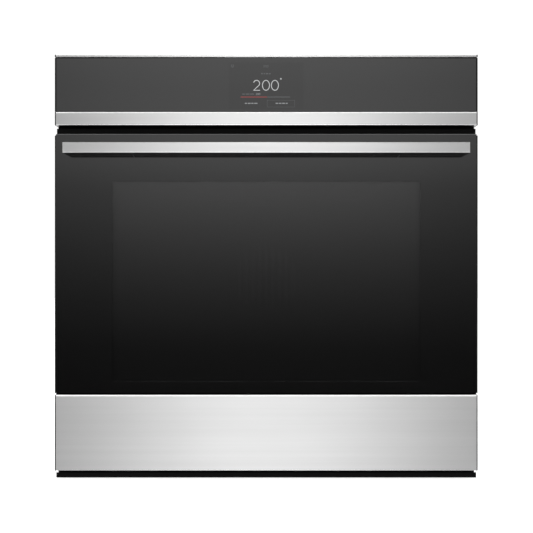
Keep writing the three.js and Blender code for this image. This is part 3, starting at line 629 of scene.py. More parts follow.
def display_glass():
    """The panel's glass: printed black, and a clearer, darker field over the screen."""
    paint = Paint("control_glass_print", Roughness=0.03, IOR=1.5)
    spot = paint.node("SeparateXYZ", {0: paint.where()})
    inside_x = paint.math("LESS_THAN", paint.math("ABSOLUTE", spot.outputs["X"]), SCREEN_HALF)
    middle = (SCREEN_TOP + SCREEN_BOTTOM) / 2
    offset = paint.math("ABSOLUTE", paint.math("SUBTRACT", spot.outputs["Z"], middle))
    inside_z = paint.math("LESS_THAN", offset, (SCREEN_TOP - SCREEN_BOTTOM) / 2)
    screen = paint.math("MULTIPLY", inside_x, inside_z)
    haze = paint.noise(14.0, (1, 1, 2.5), detail=5.0, roughness=0.6)
    paint.colour(paint.mix(screen, grey(0.0040), grey(0.0008)))
    paint.rough(haze, 0.035, 0.012)
    low = CONTROL_LOW + Vector((EDGE, 0, 0))
    high = CONTROL_HIGH - Vector((EDGE, 0, GLASS_REVEAL))
    bm = bmesh.new()
    add_box(bm, low, high, 0.9 * MM, 4)
    finish(bm, "control_glass_plate", "black_glass", "control_glass", look=paint.material, smooth=30)
    # A near-black strip in the reveal under the lip and along the ground sides: painted shade.
    bm = bmesh.new()
    add_box(bm, (low.x, low.y + 1.5 * MM, high.z - 0.2 * MM), (high.x, high.y, CONTROL_HIGH.z), 0.2 * MM, 1)
    add_side_edges(bm, CONTROL_LOW, high)
    finish(bm, "control_glass_edge", "black_glass", look=GLASS_EDGE_SHADE, smooth=30)


def add_side_edges(bm, low, high):
    """The ground sides of a pane that is as wide as the oven."""
    for left, right in CUT_ENDS:
        add_box(bm, (left, low.y, low.z), (right, FRONT + 4 * MM, high.z), 0.35 * MM, 2)


# ---------------- display
def arc(cx, cz, rx, rz, start, end, steps=20):
    """Points on an ellipse between two angles in degrees."""
    angles = [math.radians(start + (end - start) * i / steps) for i in range(steps + 1)]
    return [(cx + rx * math.cos(a), cz + rz * math.sin(a)) for a in angles]


# The display is drawn in millimetres, across from the oven's middle and up from its base.
MARK_PLANE = CONTROL_LOW.y - 0.04 * MM
NUMBER_HEIGHT = 15.2
NUMBER_PITCH = 12.6
NUMERALS = {
    "0": arc(5.6, 7.6, 5.0, 7.0, 0, 360, 32),
    "2": arc(5.0, 10.3, 4.3, 4.3, 165, -38) + [(0.9, 0.6), (9.8, 0.6)],
}


def add_ribbon(bm, points, width):
    """A flat line of even width, facing the front, along points of (x, z)."""
    points = [Vector(p) * MM for p in points]
    left, right = [], []
    for i, point in enumerate(points):
        before = (point - points[i - 1]).normalized() if i else (points[1] - point).normalized()
        after = (points[i + 1] - point).normalized() if i < len(points) - 1 else before
        along = (before + after).normalized()
        across = Vector((-along.y, along.x)) * (width * MM / 2 / max(0.5, along.dot(before)))
        for edge, spot in ((left, point + across), (right, point - across)):
            edge.append(bm.verts.new((spot.x, MARK_PLANE, spot.y)))
    for i in range(len(points) - 1):
        bm.faces.new((left[i], left[i + 1], right[i + 1], right[i]))


def add_number(bm, text, x, z, height, stroke):
    """Numerals from a left edge, standing on z. The stroke is that of a number of full height."""
    scale = height / NUMBER_HEIGHT
    for i, figure in enumerate(text):
        left = x + i * NUMBER_PITCH * scale
        add_ribbon(bm, [(left + px * scale, z + pz * scale) for px, pz in NUMERALS[figure]], stroke * scale)


def add_dashes(bm, x, z, widths, height, gap):
    """A row of plain bars, in place of a printed word."""
    for width in widths:
        add_ribbon(bm, [(x, z), (x + width, z)], height)
        x += width + gap


def display_marks():
    """A plain temperature and clock, a progress line and two soft keys, with bars in place of words."""
    white, pale, dim, red = (bmesh.new() for _ in range(4))
    add_number(white, "200", -18.6, 547.2, NUMBER_HEIGHT, 1.05)
    add_ribbon(white, arc(20.6, 564.0, 0.9, 0.9, 0, 360, 12), 0.6)
    add_number(dim, "200", -3.9, 580.3, 3.0, 2.2)
    add_dashes(dim, -7.2, 571.2, (2.6, 2.0, 3.4, 2.2), 1.7, 1.0)
    add_ribbon(dim, arc(-47.6, 582.2, 1.5, 1.9, 110, 430, 14), 0.8)
    add_dashes(dim, -34.0, 542.5, (4.4, 5.0, 5.6), 1.4, 0.9)
    add_number(pale, "200", -14.6, 541.3, 2.5, 2.4)
    add_ribbon(red, [(-36.0, 538.3), (1.2, 538.3)], 1.1)
    add_ribbon(dim, [(1.6, 538.3), (33.6, 538.3)], 1.2)
    add_ribbon(dim, [(1.4, 524.2), (40.0, 524.2), (40.0, 533.6), (1.4, 533.6), (1.4, 524.2)], 0.35)
    add_dashes(pale, -30.2, 529.4, (3.2, 4.0, 3.0, 4.6), 1.5, 1.0)
    add_dashes(pale, 13.2, 529.4, (3.8, 3.4, 4.0, 2.8), 1.5, 1.0)
    for name, bm, look, colour, strength in (
        ("display_temperature", white, "display_white", (0.92, 0.94, 0.95), 0.60),
        ("display_labels", pale, "display_pale", (0.62, 0.64, 0.66), 0.40),
        ("display_small_marks", dim, "display_dim", (0.50, 0.52, 0.54), 0.15),
        ("display_progress", red, "display_red", (0.86, 0.13, 0.12), 0.32),
    ):
        finish(bm, name, "black_glass", look=lit(look, colour, strength), smooth=30)


# ---------------- door front
def add_framed_plate(bm, low, high, hole_low, hole_high, corner=0.0):
    """A plate across X and Z with a rectangular hole. The corners at the top may be rounded."""
    rim = rounded(rectangle(low, high, 0, 0, corner, corner), 0, steps=6)
    loops = []
    for outline in (rim, rectangle(hole_low, hole_high)):
        loops.append([[bm.verts.new((x, y, z)) for x, z in outline] for y in (low.y, high.y)])
    for face in (0, 1):
        edges = []
        for loop in (loops[0][face], loops[1][face]):
            edges += [bm.edges.new((loop[i], loop[(i + 1) % len(loop)])) for i in range(len(loop))]
        bmesh.ops.triangle_fill(bm, use_beauty=True, edges=edges)
    for a, b in loops:
        for i in range(len(a)):
            j = (i + 1) % len(a)
            bm.faces.new((a[i], a[j], b[j], b[i]))


def door_glass():
    """Outer pane: a printed black border round a tinted window."""
    arris = 1.2 * MM
    low = GLASS_LOW + Vector((EDGE, 0, 0))
    high = GLASS_HIGH - Vector((EDGE, 0, 0.15 * MM))
    shoulder = high.z - arris
    hole_low = Vector((-WINDOW["half"], low.y, WINDOW["bottom"]))
    hole_high = Vector((WINDOW["half"], high.y, WINDOW["top"]))
    bm = bmesh.new()
    add_framed_plate(bm, low, Vector((high.x, high.y, shoulder)), hole_low, hole_high)
    top_edge = [(low.y, shoulder), (high.y, shoulder), (high.y, high.z), (low.y, high.z, arris)]
    add_extrusion(bm, rounded(top_edge, 0, steps=5), 0, low.x, high.x)
    # The top edge of the pane gets the painted highlight.
    upper = ((ARRIS_HIGHLIGHT, on_upper_edge),)
    finish(bm, "door_glass_border", "black_glass", "door_outer_glass", "door", smooth=30, edges=upper)
    bm = bmesh.new()
    add_box(bm, hole_low, hole_high)
    finish(bm, "door_glass_window", "clear_glass", body="door", look=WINDOW_GLASS, smooth=30)
    # The ground sides of the pane, near-black as painted shade.
    bm = bmesh.new()
    add_side_edges(bm, low, high - Vector((0, 0, 2 * MM)))
    finish(bm, "door_glass_sides", "black_glass", body="door", look=GLASS_EDGE_SHADE, smooth=30)
    # A near-black strip set back in the split between the glass and the steel: painted shade in the gap.
    bm = bmesh.new()
    add_box(bm, (low.x, low.y + 1.4 * MM, STEEL_HIGH.z), (high.x, low.y + 4 * MM, low.z), 0.2 * MM, 1)
    finish(bm, "door_split_painted_shade", "black_enamel", body="door", look=GAP_SHADE, smooth=30)


def inner_panes():
    """A coated pane behind the outer one, and a clear innermost pane with a printed black edge."""
    low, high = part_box("door_inner_glass")
    inset = Vector((30 * MM, 0, 32 * MM))
    bm = bmesh.new()
    add_framed_plate(bm, low, high, low + inset, high - inset, corner=3 * MM)
    finish(bm, "inner_glass_border", "black_glass", "door_inner_glass", "door", smooth=30)
    bm = bmesh.new()
    add_box(bm, low + inset, high - inset)
    finish(bm, "inner_glass_window", "clear_glass", body="door", smooth=30)
    low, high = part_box("door_middle_glass")
    bm = bmesh.new()
    add_box(bm, low, high, 0.4 * MM, 1)
    finish(bm, "middle_glass_pane", "clear_glass", "door_middle_glass", "door", look=COATED, smooth=30)


def lower_panel():
    """The steel part of the door: a shallow tray with rounded edges, notched for the hinge arms."""
    front, back = STEEL_LOW.y, STEEL_HIGH.y
    bottom, top = STEEL_LOW.z, STEEL_HIGH.z - 0.35 * MM
    skin = 1.0 * MM
    hem = front + 2.5 * MM
    profile = [
        (back, top), (back, top - skin), (front + skin, top - skin, 0.3 * MM),
        (front + skin, bottom + skin, 0.3 * MM), (hem, bottom + skin), (hem, bottom),
        (front, bottom, 2.0 * MM), (front, top, 1.7 * MM),
    ]
    bm = bmesh.new()
    add_extrusion(bm, rounded(profile, 0.05 * MM, steps=6), 0, -HALF + EDGE, HALF - EDGE)
    inner, outer = HINGE_NOTCH
    for left, right in ((-HALF + EDGE, -outer), (-inner, inner), (outer, HALF - EDGE)):
        add_box(bm, (left, hem - 0.2 * MM, bottom), (right, back, bottom + skin), 0.2 * MM, 1)
    node = "door_lower_panel"
    finish(bm, "door_lower_steel", "stainless_steel", node, "door", smooth=30, edges=PAINTED_EDGE_LIGHT_AND_SHADE)
    # The cut ends, in near-black steel as painted shade.
    bm = bmesh.new()
    for left, right in CUT_ENDS:
        add_box(bm, (left, front, bottom), (right, back, top), 0.4 * MM, 2)
    finish(bm, "door_lower_steel_ends", "stainless_steel", body="door", look=CUT_END_SHADE, smooth=30)


def handle_bar():
    """Square bar with a channel down its back. Its lower wall runs back to the glass between the two posts."""
    low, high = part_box("handle_bar")
    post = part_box("handle_post_right")[0]
    back = post.y - 0.3 * MM
    inner = post.x - 0.3 * MM
    plug = high.x - 20 * MM
    wall = 2 * MM
    outline = [
        (back, high.z), (back, high.z - wall), (low.y + wall, high.z - wall), (low.y + wall, low.z + wall),
        (back, low.z + wall), (back, low.z), (low.y, low.z, 1.0 * MM), (low.y, high.z, 1.0 * MM),
    ]
    bm = bmesh.new()
    add_extrusion(bm, rounded(outline, 0.3 * MM, steps=5), 0, low.x, high.x)
    for left, right in ((low.x, -plug), (plug, high.x)):
        add_box(bm, (left, low.y + wall, low.z + wall), (right, back - 0.3 * MM, high.z - wall), 0.2 * MM, 1)
    add_box(bm, (-inner, back - 0.1 * MM, low.z + 0.05 * MM), (inner, high.y, low.z + wall), 0.2 * MM, 1)
    bar = to_object(bm, "handle_square_bar", SLOT_LOOKS["stainless_steel"])
    ease_edges(bar, 0.5 * MM, 60, segments=2)
    for material, chosen in PAINTED_EDGE_LIGHT_AND_SHADE[:2]:
        refinish(bar, material, chosen)
    bar.visible_glossy = False
    place(bar, "door", "handle_bar")


def handle_posts():
    """The two long posts that stand the bar off the glass."""
    for side in ("left", "right"):
        node = f"handle_post_{side}"
        bm = bmesh.new()
        add_box(bm, *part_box(node), 0.6 * MM, 2)
        post = finish(bm, f"{node}_steel", "stainless_steel", node, "door", smooth=30, edges=PAINTED_EDGE_LIGHT_AND_SHADE[:1])
        post.visible_glossy = False


# ---------------- wires, racks and shelf
def cavity_wires():
    """The ladder racks on the side walls: uprights, and a closed loop of wire for each shelf level."""
    wire = 2.5 * MM
    for side, hand in SIDES:
        low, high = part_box(f"side_rack_{hand}")
        wall, guide = (high.x, low.x + wire) if side > 0 else (low.x, high.x - wire)
        upright = guide + side * 3.5 * MM
        foot, head = low.z + 10 * MM, high.z - 10 * MM
        bm = bmesh.new()
        for y in (low.y + 26 * MM, high.y - 15 * MM):
            path = [(wall, y, foot), (upright, y, foot), (upright, y, head), (wall, y, head)]
            add_tube(bm, bends(path, 5 * MM), wire, 12)
        for level in RACK_LEVELS:
            add_tube(bm, loop_of_wire(guide, low.y + wire, high.y - wire, level), wire, 12, closed=True)
        finish(bm, f"side_rack_{hand}_wires", "chromed_wire", f"side_rack_{hand}")


def loop_of_wire(x, front, back, level):
    """A long flat loop in the plane of the side wall, with round ends."""
    points = []
    for centre, start in ((back - RACK_HALF_GAP, 90), (front + RACK_HALF_GAP, 270)):
        for step in range(9):
            angle = math.radians(start - 180 * step / 8)
            y, z = RACK_HALF_GAP * math.cos(angle), RACK_HALF_GAP * math.sin(angle)
            points.append((x, centre + y, level + z))
    return points


def ring_path(x, y_low, y_high, z_low, z_high):
    """Corners of a closed loop that is symmetrical about the oven's middle, and starts there."""
    corners = [(0, y_low, z_high), (x, y_low, z_high), (x, y_high, z_low)]
    return corners + [(-px, py, pz) for px, py, pz in corners[::-1]]


def shelf():
    """Wire shelf: a bent frame, a stop plate under its front edge, and thin bars from front to back."""
    low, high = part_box("wire_shelf")
    wire, thin = 3 * MM, 1.8 * MM
    x = high.x - wire
    front, back, top = low.y + wire, high.y - wire, high.z - wire
    bm = bmesh.new()
    add_tube(bm, bends(ring_path(x, front, back, top, top), 12 * MM)[:-1], wire, 14, closed=True)
    drop = low.z + wire
    stop = [(-x, front + 16 * MM, top), (-x, front, drop), (x, front, drop), (x, front + 16 * MM, top)]
    add_tube(bm, bends(stop, 8 * MM), wire, 12)
    add_box(bm, (-x + 6 * MM, front - 1 * MM, drop), (x - 6 * MM, front + 1 * MM, top), 0.4 * MM, 2)
    middle = (front + back) / 2
    add_tube(bm, [(-x, middle, top - 2 * MM), (x, middle, top - 2 * MM)], wire, 12)
    for i in range(SHELF_BARS):
        across = (i - SHELF_BARS // 2) * SHELF_PITCH
        add_tube(bm, [(across, front, top + 1 * MM), (across, back, top + 1 * MM)], thin, 10)
    finish(bm, "wire_shelf_bars", "chromed_wire", "wire_shelf", "shelf")


def runners():
    """Telescopic runners: an outer channel on the rack, a middle channel, and an inner rail."""
    lip = 1.2 * MM
    for side, hand in SIDES:
        for part, body in (("outer", "chassis"), ("middle", f"runner_{hand}")):
            low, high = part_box(f"runner_{part}_{hand}")
            web, mouth = (high.x, low.x) if side > 0 else (low.x, high.x)
            inner = web - side * lip
            outline = [
                (web, low.z, 1.2 * MM), (web, high.z, 1.2 * MM), (mouth, high.z), (mouth, high.z - lip),
                (inner, high.z - lip), (inner, low.z + lip), (mouth, low.z + lip), (mouth, low.z),
            ]
            bm = bmesh.new()
            add_extrusion(bm, rounded(outline, 0.25 * MM), 1, low.y, high.y)
            finish(bm, f"runner_{part}_{hand}_channel", "chromed_wire", f"runner_{part}_{hand}", body)
        bm = bmesh.new()
        add_box(bm, *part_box(f"runner_inner_{hand}"), 1.2 * MM, 3)
        finish(bm, f"runner_inner_{hand}_rail", "chromed_wire", f"runner_inner_{hand}", "shelf")


def gasket():
    """A braided tube pressed flat against the front frame, round the mouth of the cavity."""
    low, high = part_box("door_gasket")
    radius = 4.5 * MM
    squeeze = (high.y - low.y) / (2 * radius)
    y = (low.y + high.y) / 2
    x, bottom, top = high.x - radius, low.z + radius, high.z - radius
    bm = bmesh.new()
    add_tube(bm, bends(ring_path(x, y, y, bottom, top), 14 * MM)[:-1], radius, 16, closed=True)
    for vert in bm.verts:
        vert.co.y = y + (vert.co.y - y) * squeeze
    finish(bm, "door_gasket_braid", "braided_seal", "door_gasket", smooth=60)


# ---------------- heaters, fan and lamps
def snake(xs, near, far, z, entry):
    """Corners of a rod that runs to and fro across the oven."""
    corners = []
    for i, x in enumerate(xs):
        ends = [(x, far, z), (x, near, z)]
        corners += ends[::-1] if i % 2 else ends
    corners[0] = (xs[0], entry, z)
    corners[-1] = (xs[-1], entry, z)
    return corners


def grill_heater():
    """The grill: a smooth tubular heater under the ceiling, which ends in two bushings on a plate."""
    low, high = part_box("grill_element")
    tube = 3.5 * MM
    z = (low.z + high.z) / 2
    tail, bend = 20 * MM, 140 * MM
    runs = [i * 37 * MM for i in (5, 3, 1, -1, -3, -5)]
    path = [(tail, high.y, z), (tail, bend, z)] + snake(runs, low.y + tube, 110 * MM, z, bend)
    path += [(-tail, bend, z), (-tail, high.y, z)]
    bushing = in_mm([(0, 0), (6, 0), (6, 9), (4.4, 11), (0, 11)])
    bm = bmesh.new()
    add_tube(bm, bends(path, 22 * MM, 8), tube, 14)
    add_box(bm, (-32 * MM, high.y - 1.5 * MM, low.z), (32 * MM, high.y, high.z), 0.5 * MM, 2)
    for end in (-tail, tail):
        add_lathe(bm, bushing, (end, high.y - 12.5 * MM, z), (0, 1, 0), 20)
    finish(bm, "grill_heater", "heater_sheath", "grill_element", smooth=50)


def bake_heater():
    """A smooth tubular heater under the floor."""
    low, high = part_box("bake_element")
    tube = (high.z - low.z) / 2
    runs = [i * 95 * MM for i in (2, 1, 0, -1, -2)]
    path = snake(runs, low.y + tube, high.y - tube, (low.z + high.z) / 2, high.y)
    bm = bmesh.new()
    add_tube(bm, bends(path, 24 * MM, 8), tube, 14)
    finish(bm, "bake_heater", "heater_sheath", "bake_element", smooth=50)


def ring_heater():
    """A ring round the fan, on two tails and a fixing plate."""
    low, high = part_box("ring_element")
    tube = 3.5 * MM
    radius = high.x - tube
    y, centre = low.y + tube, low.z + high.x
    crown = centre + radius
    bm = bmesh.new()
    add_tube(bm, circle(radius, (0, y, centre)), tube, 14, closed=True)
    for x in (-9 * MM, 9 * MM):
        add_tube(bm, [(x, y, crown), (x, high.y, crown)], tube, 14)
    plate_low = (-20 * MM, high.y - 1.2 * MM, crown - 7 * MM)
    add_box(bm, plate_low, (20 * MM, high.y, crown + 3.4 * MM), 0.4 * MM, 2)
    finish(bm, "ring_heater", "heater_sheath", "ring_element", smooth=50)


def fan_wheel():
    """Pressed aluminium wheel with curved blades and a nut on its shaft."""
    low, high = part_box("convection_fan")
    radius = high.x
    centre = Vector((0, 0, (low.z + high.z) / 2))
    disc = low.y + 25 * MM
    profile = in_mm([(0, -1.5), (14, -1.5), (18, -5.5), (30, -5.5), (34, -1.5)])
    profile += [(radius - 1 * MM, -1.5 * MM), (radius, -1.1 * MM), (radius, 0)]
    profile += in_mm([(34, 0), (30, -4), (18, -4), (14, 0), (4, 0)])
    profile += [(4 * MM, high.y - disc), (0, high.y - disc)]
    bm = bmesh.new()
    add_lathe(bm, profile, centre + Vector((0, disc, 0)), (0, 1, 0), 64)
    for i in range(FAN_BLADES):
        turn = math.radians(360 * i / FAN_BLADES)
        outline = blade(turn, (0, centre.z), 36 * MM, radius - 1.5 * MM, 0.6 * MM, (0.32, 1.4), 6)
        add_extrusion(bm, outline, 1, low.y, disc - 1.2 * MM)
    nut = in_mm([(0, 0), (8, 0), (8, 5), (7, 6), (0, 6)])
    add_lathe(bm, nut, centre + Vector((0, disc - 7 * MM, 0)), (0, 1, 0), 6)
    finish(bm, "convection_fan_wheel", "aluminium_sheet", "convection_fan", "convection_fan")


def lamps():
    """Ribbed glass lenses in dark screw rings, at the back of the cavity."""
    lens = in_mm([
        (0, 14.0), (5, 13.9), (6, 13.0), (9, 13.4), (10, 12.2), (13, 12.4), (14, 10.8), (17, 10.6), (18, 8.6),
        (20.5, 7.4), (21.5, 4.4), (21.5, 1.0), (0, 1.0),
    ])
    grip = in_mm([(0, 0), (1.6, 0), (1.6, 5), (1.0, 5.6), (0, 5.6)])
    for hand in ("left", "right"):
        low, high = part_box(f"lamp_lens_{hand}")
        middle = (low + high) / 2
        centre = (middle.x, high.y, middle.z)
        ring = (high.x - low.x) / 2
        bm = bmesh.new()
        add_lathe(bm, lens, centre, (0, -1, 0), 48)
        finish(bm, f"lamp_glass_{hand}", "clear_glass", f"lamp_lens_{hand}", look=LENS)
        profile = [(0, 0), (ring, 0), (ring, 3 * MM), (ring - 1 * MM, 4 * MM)]
        profile += in_mm([(22, 4), (22, 1), (0, 1)])
        bm = bmesh.new()
        add_lathe(bm, profile, centre, (0, -1, 0), 48)
        for spot in circle(ring - 2 * MM, centre, 12):
            add_lathe(bm, grip, spot, (0, -1, 0), 10)
        finish(bm, f"lamp_ring_{hand}", "cavity_enamel")


def probe():
    """Steel temperature probe: a thin tip with a round nose, a thicker sleeve and a fixing flange."""
    low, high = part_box("temperature_probe")
    middle = (low + high) / 2
    centre = (middle.x, low.y, middle.z)
    length = high.y - low.y
    flange = (high.x - low.x) / 2
    profile = in_mm([(0, 0), (1.4, 0.4), (2.4, 1.6), (2.4, 38), (3, 39)])
    profile += [(r * MM, length - h * MM) for r, h in ((3, 5), (5, 4), (5, 2))]
    profile += [(flange, length - 2 * MM), (flange, length), (0, length)]
    bm = bmesh.new()
    add_lathe(bm, profile, centre, (0, 1, 0), 28)
    finish(bm, "temperature_probe_tube", "chromed_wire", "temperature_probe")


def cavity_shell():
    """The enamelled cavity, with rounded corners."""
    low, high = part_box("cavity_wrapper")
    corner = 14 * MM
    wall = Vector((1 * MM, 0, 1 * MM))
    outer = rounded(rectangle(low, high), corner, steps=10)
    inner = rounded(rectangle(low + wall, high - wall), corner - 1 * MM, steps=10)
    bm = bmesh.new()
    rings = []
    for outline, y in ((outer, low.y), (outer, high.y), (inner, high.y), (inner, low.y)):
        rings.append([bm.verts.new((x, y, z)) for x, z in outline])
    for ring, following in zip(rings, rings[1:] + rings[:1]):
        for k in range(len(outer)):
            n = (k + 1) % len(outer)
            bm.faces.new((ring[k], ring[n], following[n], following[k]))
    finish(bm, "cavity_shell", "cavity_enamel", "cavity_wrapper")


def fan_cover_trim():
    """Beads pressed into the fan cover round its intake, and the screws that hold it."""
    low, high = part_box("fan_cover")
    centre = (0, low.y + 0.2 * MM, (low.z + high.z) / 2)
    bm = bmesh.new()
    for radius, thick in ((68 * MM, 1.2 * MM), (100 * MM, 1.0 * MM)):
        add_tube(bm, circle(radius, centre), thick, 10, closed=True)
    finish(bm, "fan_cover_beads", "cavity_enamel", smooth=50)
    edge = high.x - 12 * MM
    spots = [(x, low.y, z) for x in (-edge, edge) for z in (low.z + 12 * MM, high.z - 12 * MM)]
    screws("fan_cover_screws", spots, (0, -1, 0), "chromed_wire", SLOT_LOOKS["chromed_wire"], 4 * MM)


# ---------------- fasteners and outer sheets
def screws(name, spots, axis, slot="galvanised_sheet", look=ZINC_SCREW, radius=3.6 * MM):
    """Pan head screws with a round recess, seated at the spots."""
    bm = bmesh.new()
    height = radius * 0.62
    head = ((0, 0.35), (0.42, 0.35), (0.42, 1), (0.62, 0.98), (0.88, 0.75), (1, 0.38))
    profile = [(radius * r, height * h) for r, h in head] + [(radius, -0.1 * MM), (0, -0.1 * MM)]
    for spot in spots:
        add_lathe(bm, profile, spot, axis, 12)
    finish(bm, name, slot, look=look, smooth=50)


def casing_screws():
    """Screws in the front flange and round the edges of the rear, top and side sheets."""
    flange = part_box("front_frame")[0].y
    spots = [(sx * 287 * MM, flange, z) for sx in (-1, 1) for z in (80 * MM, 440 * MM)]
    screws("flange_screws", spots, (0, -1, 0), "black_enamel", BLACK_STEEL, 4.2 * MM)
    low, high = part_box("rear_panel")
    edge = high.x - 8 * MM
    spots = [(sx * edge, high.y, z * MM) for sx in (-1, 1) for z in (20, 120, 220, 320, 420, 500, 575)]
    spots += [(x * MM, high.y, low.z + 10 * MM) for x in (-180, -60, 60, 180)]
    spots += [(x * MM, high.y, z * MM) for z in (400, 150) for x in (-100, 100)]
    screws("rear_screws", spots, (0, 1, 0))
    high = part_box("top_cover")[1]
    edge = high.x - 8 * MM
    spots = [(sx * edge, y * MM, high.z) for sx in (-1, 1) for y in (-220, -120, 0, 120, 220, 275)]
    screws("top_screws", spots, (0, 0, 1))
    for sx, hand in SIDES:
        low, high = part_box(f"side_panel_{hand}")
        face = high.x if sx > 0 else low.x
        edges = (low.y + 10 * MM, high.y - 10 * MM)
        spots = [(face, y, z * MM) for y in edges for z in (30, 160, 300, 440, 570)]
        screws(f"side_screws_{hand}", spots, (sx, 0, 0))


def pressed_beads():
    """Long stiffening beads pressed into the side, top and rear sheets."""
    near, far = -190 * MM, 240 * MM
    for sx, hand in SIDES:
        low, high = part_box(f"side_panel_{hand}")
        face = high.x if sx > 0 else low.x
        lines = [((face, near, z * MM), (face, far, z * MM)) for z in (90, 200, 310, 420)]
        add_beads(f"side_beads_{hand}", lines, (sx, 0, 0))
    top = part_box("top_cover")[1].z
    lines = [((x * MM, near, top), (x * MM, far, top)) for x in (-220, -130, 110, 200)]
    add_beads("top_beads", lines, (0, 0, 1))
    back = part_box("rear_panel")[1].y
    lines = [((x * MM, back, 60 * MM), (x * MM, back, 440 * MM)) for x in (-235, -170, 170, 235)]
    add_beads("rear_beads", lines, (0, 1, 0))


def add_beads(name, lines, outward):
    """Low round ridges on a sheet, between points on its face. Most of each tube is sunk behind the face."""
    radius = 7 * MM
    sunk = Vector(outward) * (radius - 1.6 * MM)
    bm = bmesh.new()
    for start, end in lines:
        add_tube(bm, [Vector(start) - sunk, Vector(end) - sunk], radius, 32)
    finish(bm, name, "galvanised_sheet", smooth=60)


def rear_terminal_box():
    """Moulded terminal box with a ribbed lid, and a gland for the mains cable."""
    low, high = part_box("terminal_block")
    foot = low.z + 10 * MM
    margin = 1.2 * MM
    bm = bmesh.new()
    add_box(bm, (low.x, low.y, foot), (high.x, high.y - 4 * MM, high.z), 1.5 * MM, 3)
    lid_low = (low.x + margin, high.y - 4.4 * MM, foot + margin)
    add_box(bm, lid_low, (high.x - margin, high.y, high.z - margin), 2.0 * MM, 3)
    for i in range(5):
        x = low.x + (14 + 10.5 * i) * MM
        rib_low = (x - 1 * MM, high.y - 1.5 * MM, foot + 14 * MM)
        add_box(bm, rib_low, (x + 1 * MM, high.y, high.z - 14 * MM), 0.5 * MM, 2)
    gland = in_mm([(3.8, 0), (5.0, 0.2), (5.4, 2.0), (5.8, 4.0), (5.8, 10.5), (3.8, 10.5), (3.8, 0)])
    add_lathe(bm, gland, ((low.x + high.x) / 2, low.y + 6.2 * MM, low.z), (0, 0, 1), 24)
    finish(bm, "terminal_box", "black_plastic", "terminal_block")


# ---------------- works above the cavity
def blower():
    """Cross-flow wheel of many thin curved blades between ring plates, on a short shaft."""
    low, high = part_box("blower_wheel")
    wheel_end = high.x - 12 * MM
    y, z = (low.y + high.y) / 2, (low.z + high.z) / 2
    radius = (high.z - low.z) / 2
    bm = bmesh.new()
    for i in range(BLOWER_BLADES):
        turn = math.radians(360 * i / BLOWER_BLADES)
        outline = blade(turn, (y, z), 17 * MM, radius - 0.4 * MM, 0.3 * MM, (0.30, 1.5), 4)
        add_extrusion(bm, outline, 0, low.x, wheel_end)
    for i in range(BLOWER_RINGS):
        x = low.x + (wheel_end - low.x - 1 * MM) * i / (BLOWER_RINGS - 1)
        add_lathe(bm, [(0, 0), (radius, 0), (radius, 1 * MM), (0, 1 * MM)], (x, y, z), (1, 0, 0), 40)
    shaft = high.x - wheel_end
    add_lathe(bm, [(0, 0), (3 * MM, 0), (3 * MM, shaft), (0, shaft)], (wheel_end, y, z), (1, 0, 0), 16)
    finish(bm, "blower_rotor", "aluminium_sheet", "blower_wheel", "blower_wheel")


def blower_motor():
    """Small shaded-pole motor: a stepped round body over its coil and two feet."""
    low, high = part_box("blower_motor")
    y, z = (low.y + high.y) / 2, high.z - 30 * MM
    stretch = (high.x - low.x) / (38 * MM)
    steps = [(5, 0), (20, 0), (22, 2), (28, 4), (30, 6), (30, 16), (28.6, 17), (28.6, 20)]
    steps += [(30, 21), (30, 31), (28, 33), (12, 36), (0, 38)]
    profile = in_mm([(0, 2)] + [(r, h * stretch) for r, h in steps])
    bm = bmesh.new()
    add_lathe(bm, profile, (low.x, y, z), (1, 0, 0), 40)
    coil_high = (high.x - 8 * MM, high.y - 4 * MM, z - 18 * MM)
    add_box(bm, (low.x + 8 * MM, low.y + 4 * MM, low.z), coil_high, 1 * MM, 2)
    for foot in (y - 22 * MM, y + 22 * MM):
        foot_high = (high.x - 10 * MM, foot + 3 * MM, low.z + 8 * MM)
        add_box(bm, (low.x + 10 * MM, foot - 3 * MM, low.z), foot_high, 0.6 * MM, 1)
    finish(bm, "blower_motor_body", "galvanised_sheet", "blower_motor")


def fan_motor():
    """Motor behind the cavity: a stepped round body on a cross bar, with studs round its end."""
    low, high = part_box("fan_motor")
    z = (low.z + high.z) / 2
    profile = in_mm([(0, 6), (6, 2), (30, 2), (40, 3), (42, 5), (42, 16), (40.5, 17), (40.5, 22)])
    profile += in_mm([(42, 23), (42, 36), (39, 40), (30, 44), (14, 47), (0, 47)])
    bm = bmesh.new()
    add_lathe(bm, profile, (0, low.y, z), (0, 1, 0), 48)
    add_box(bm, (low.x, low.y, z - 18 * MM), (high.x, low.y + 2 * MM, z + 18 * MM), 0.5 * MM, 2)
    for i in range(8):
        angle = math.radians(45 * i + 22.5)
        spot = Vector((28 * MM * math.cos(angle), low.y + 43 * MM, z + 28 * MM * math.sin(angle)))
        stud_low, stud_high = Vector((1.6, 1.5, 1.6)) * MM, Vector((1.6, 2, 1.6)) * MM
        add_box(bm, spot - stud_low, spot + stud_high, 0.5 * MM, 1)
    finish(bm, "fan_motor_body", "galvanised_sheet", "fan_motor")


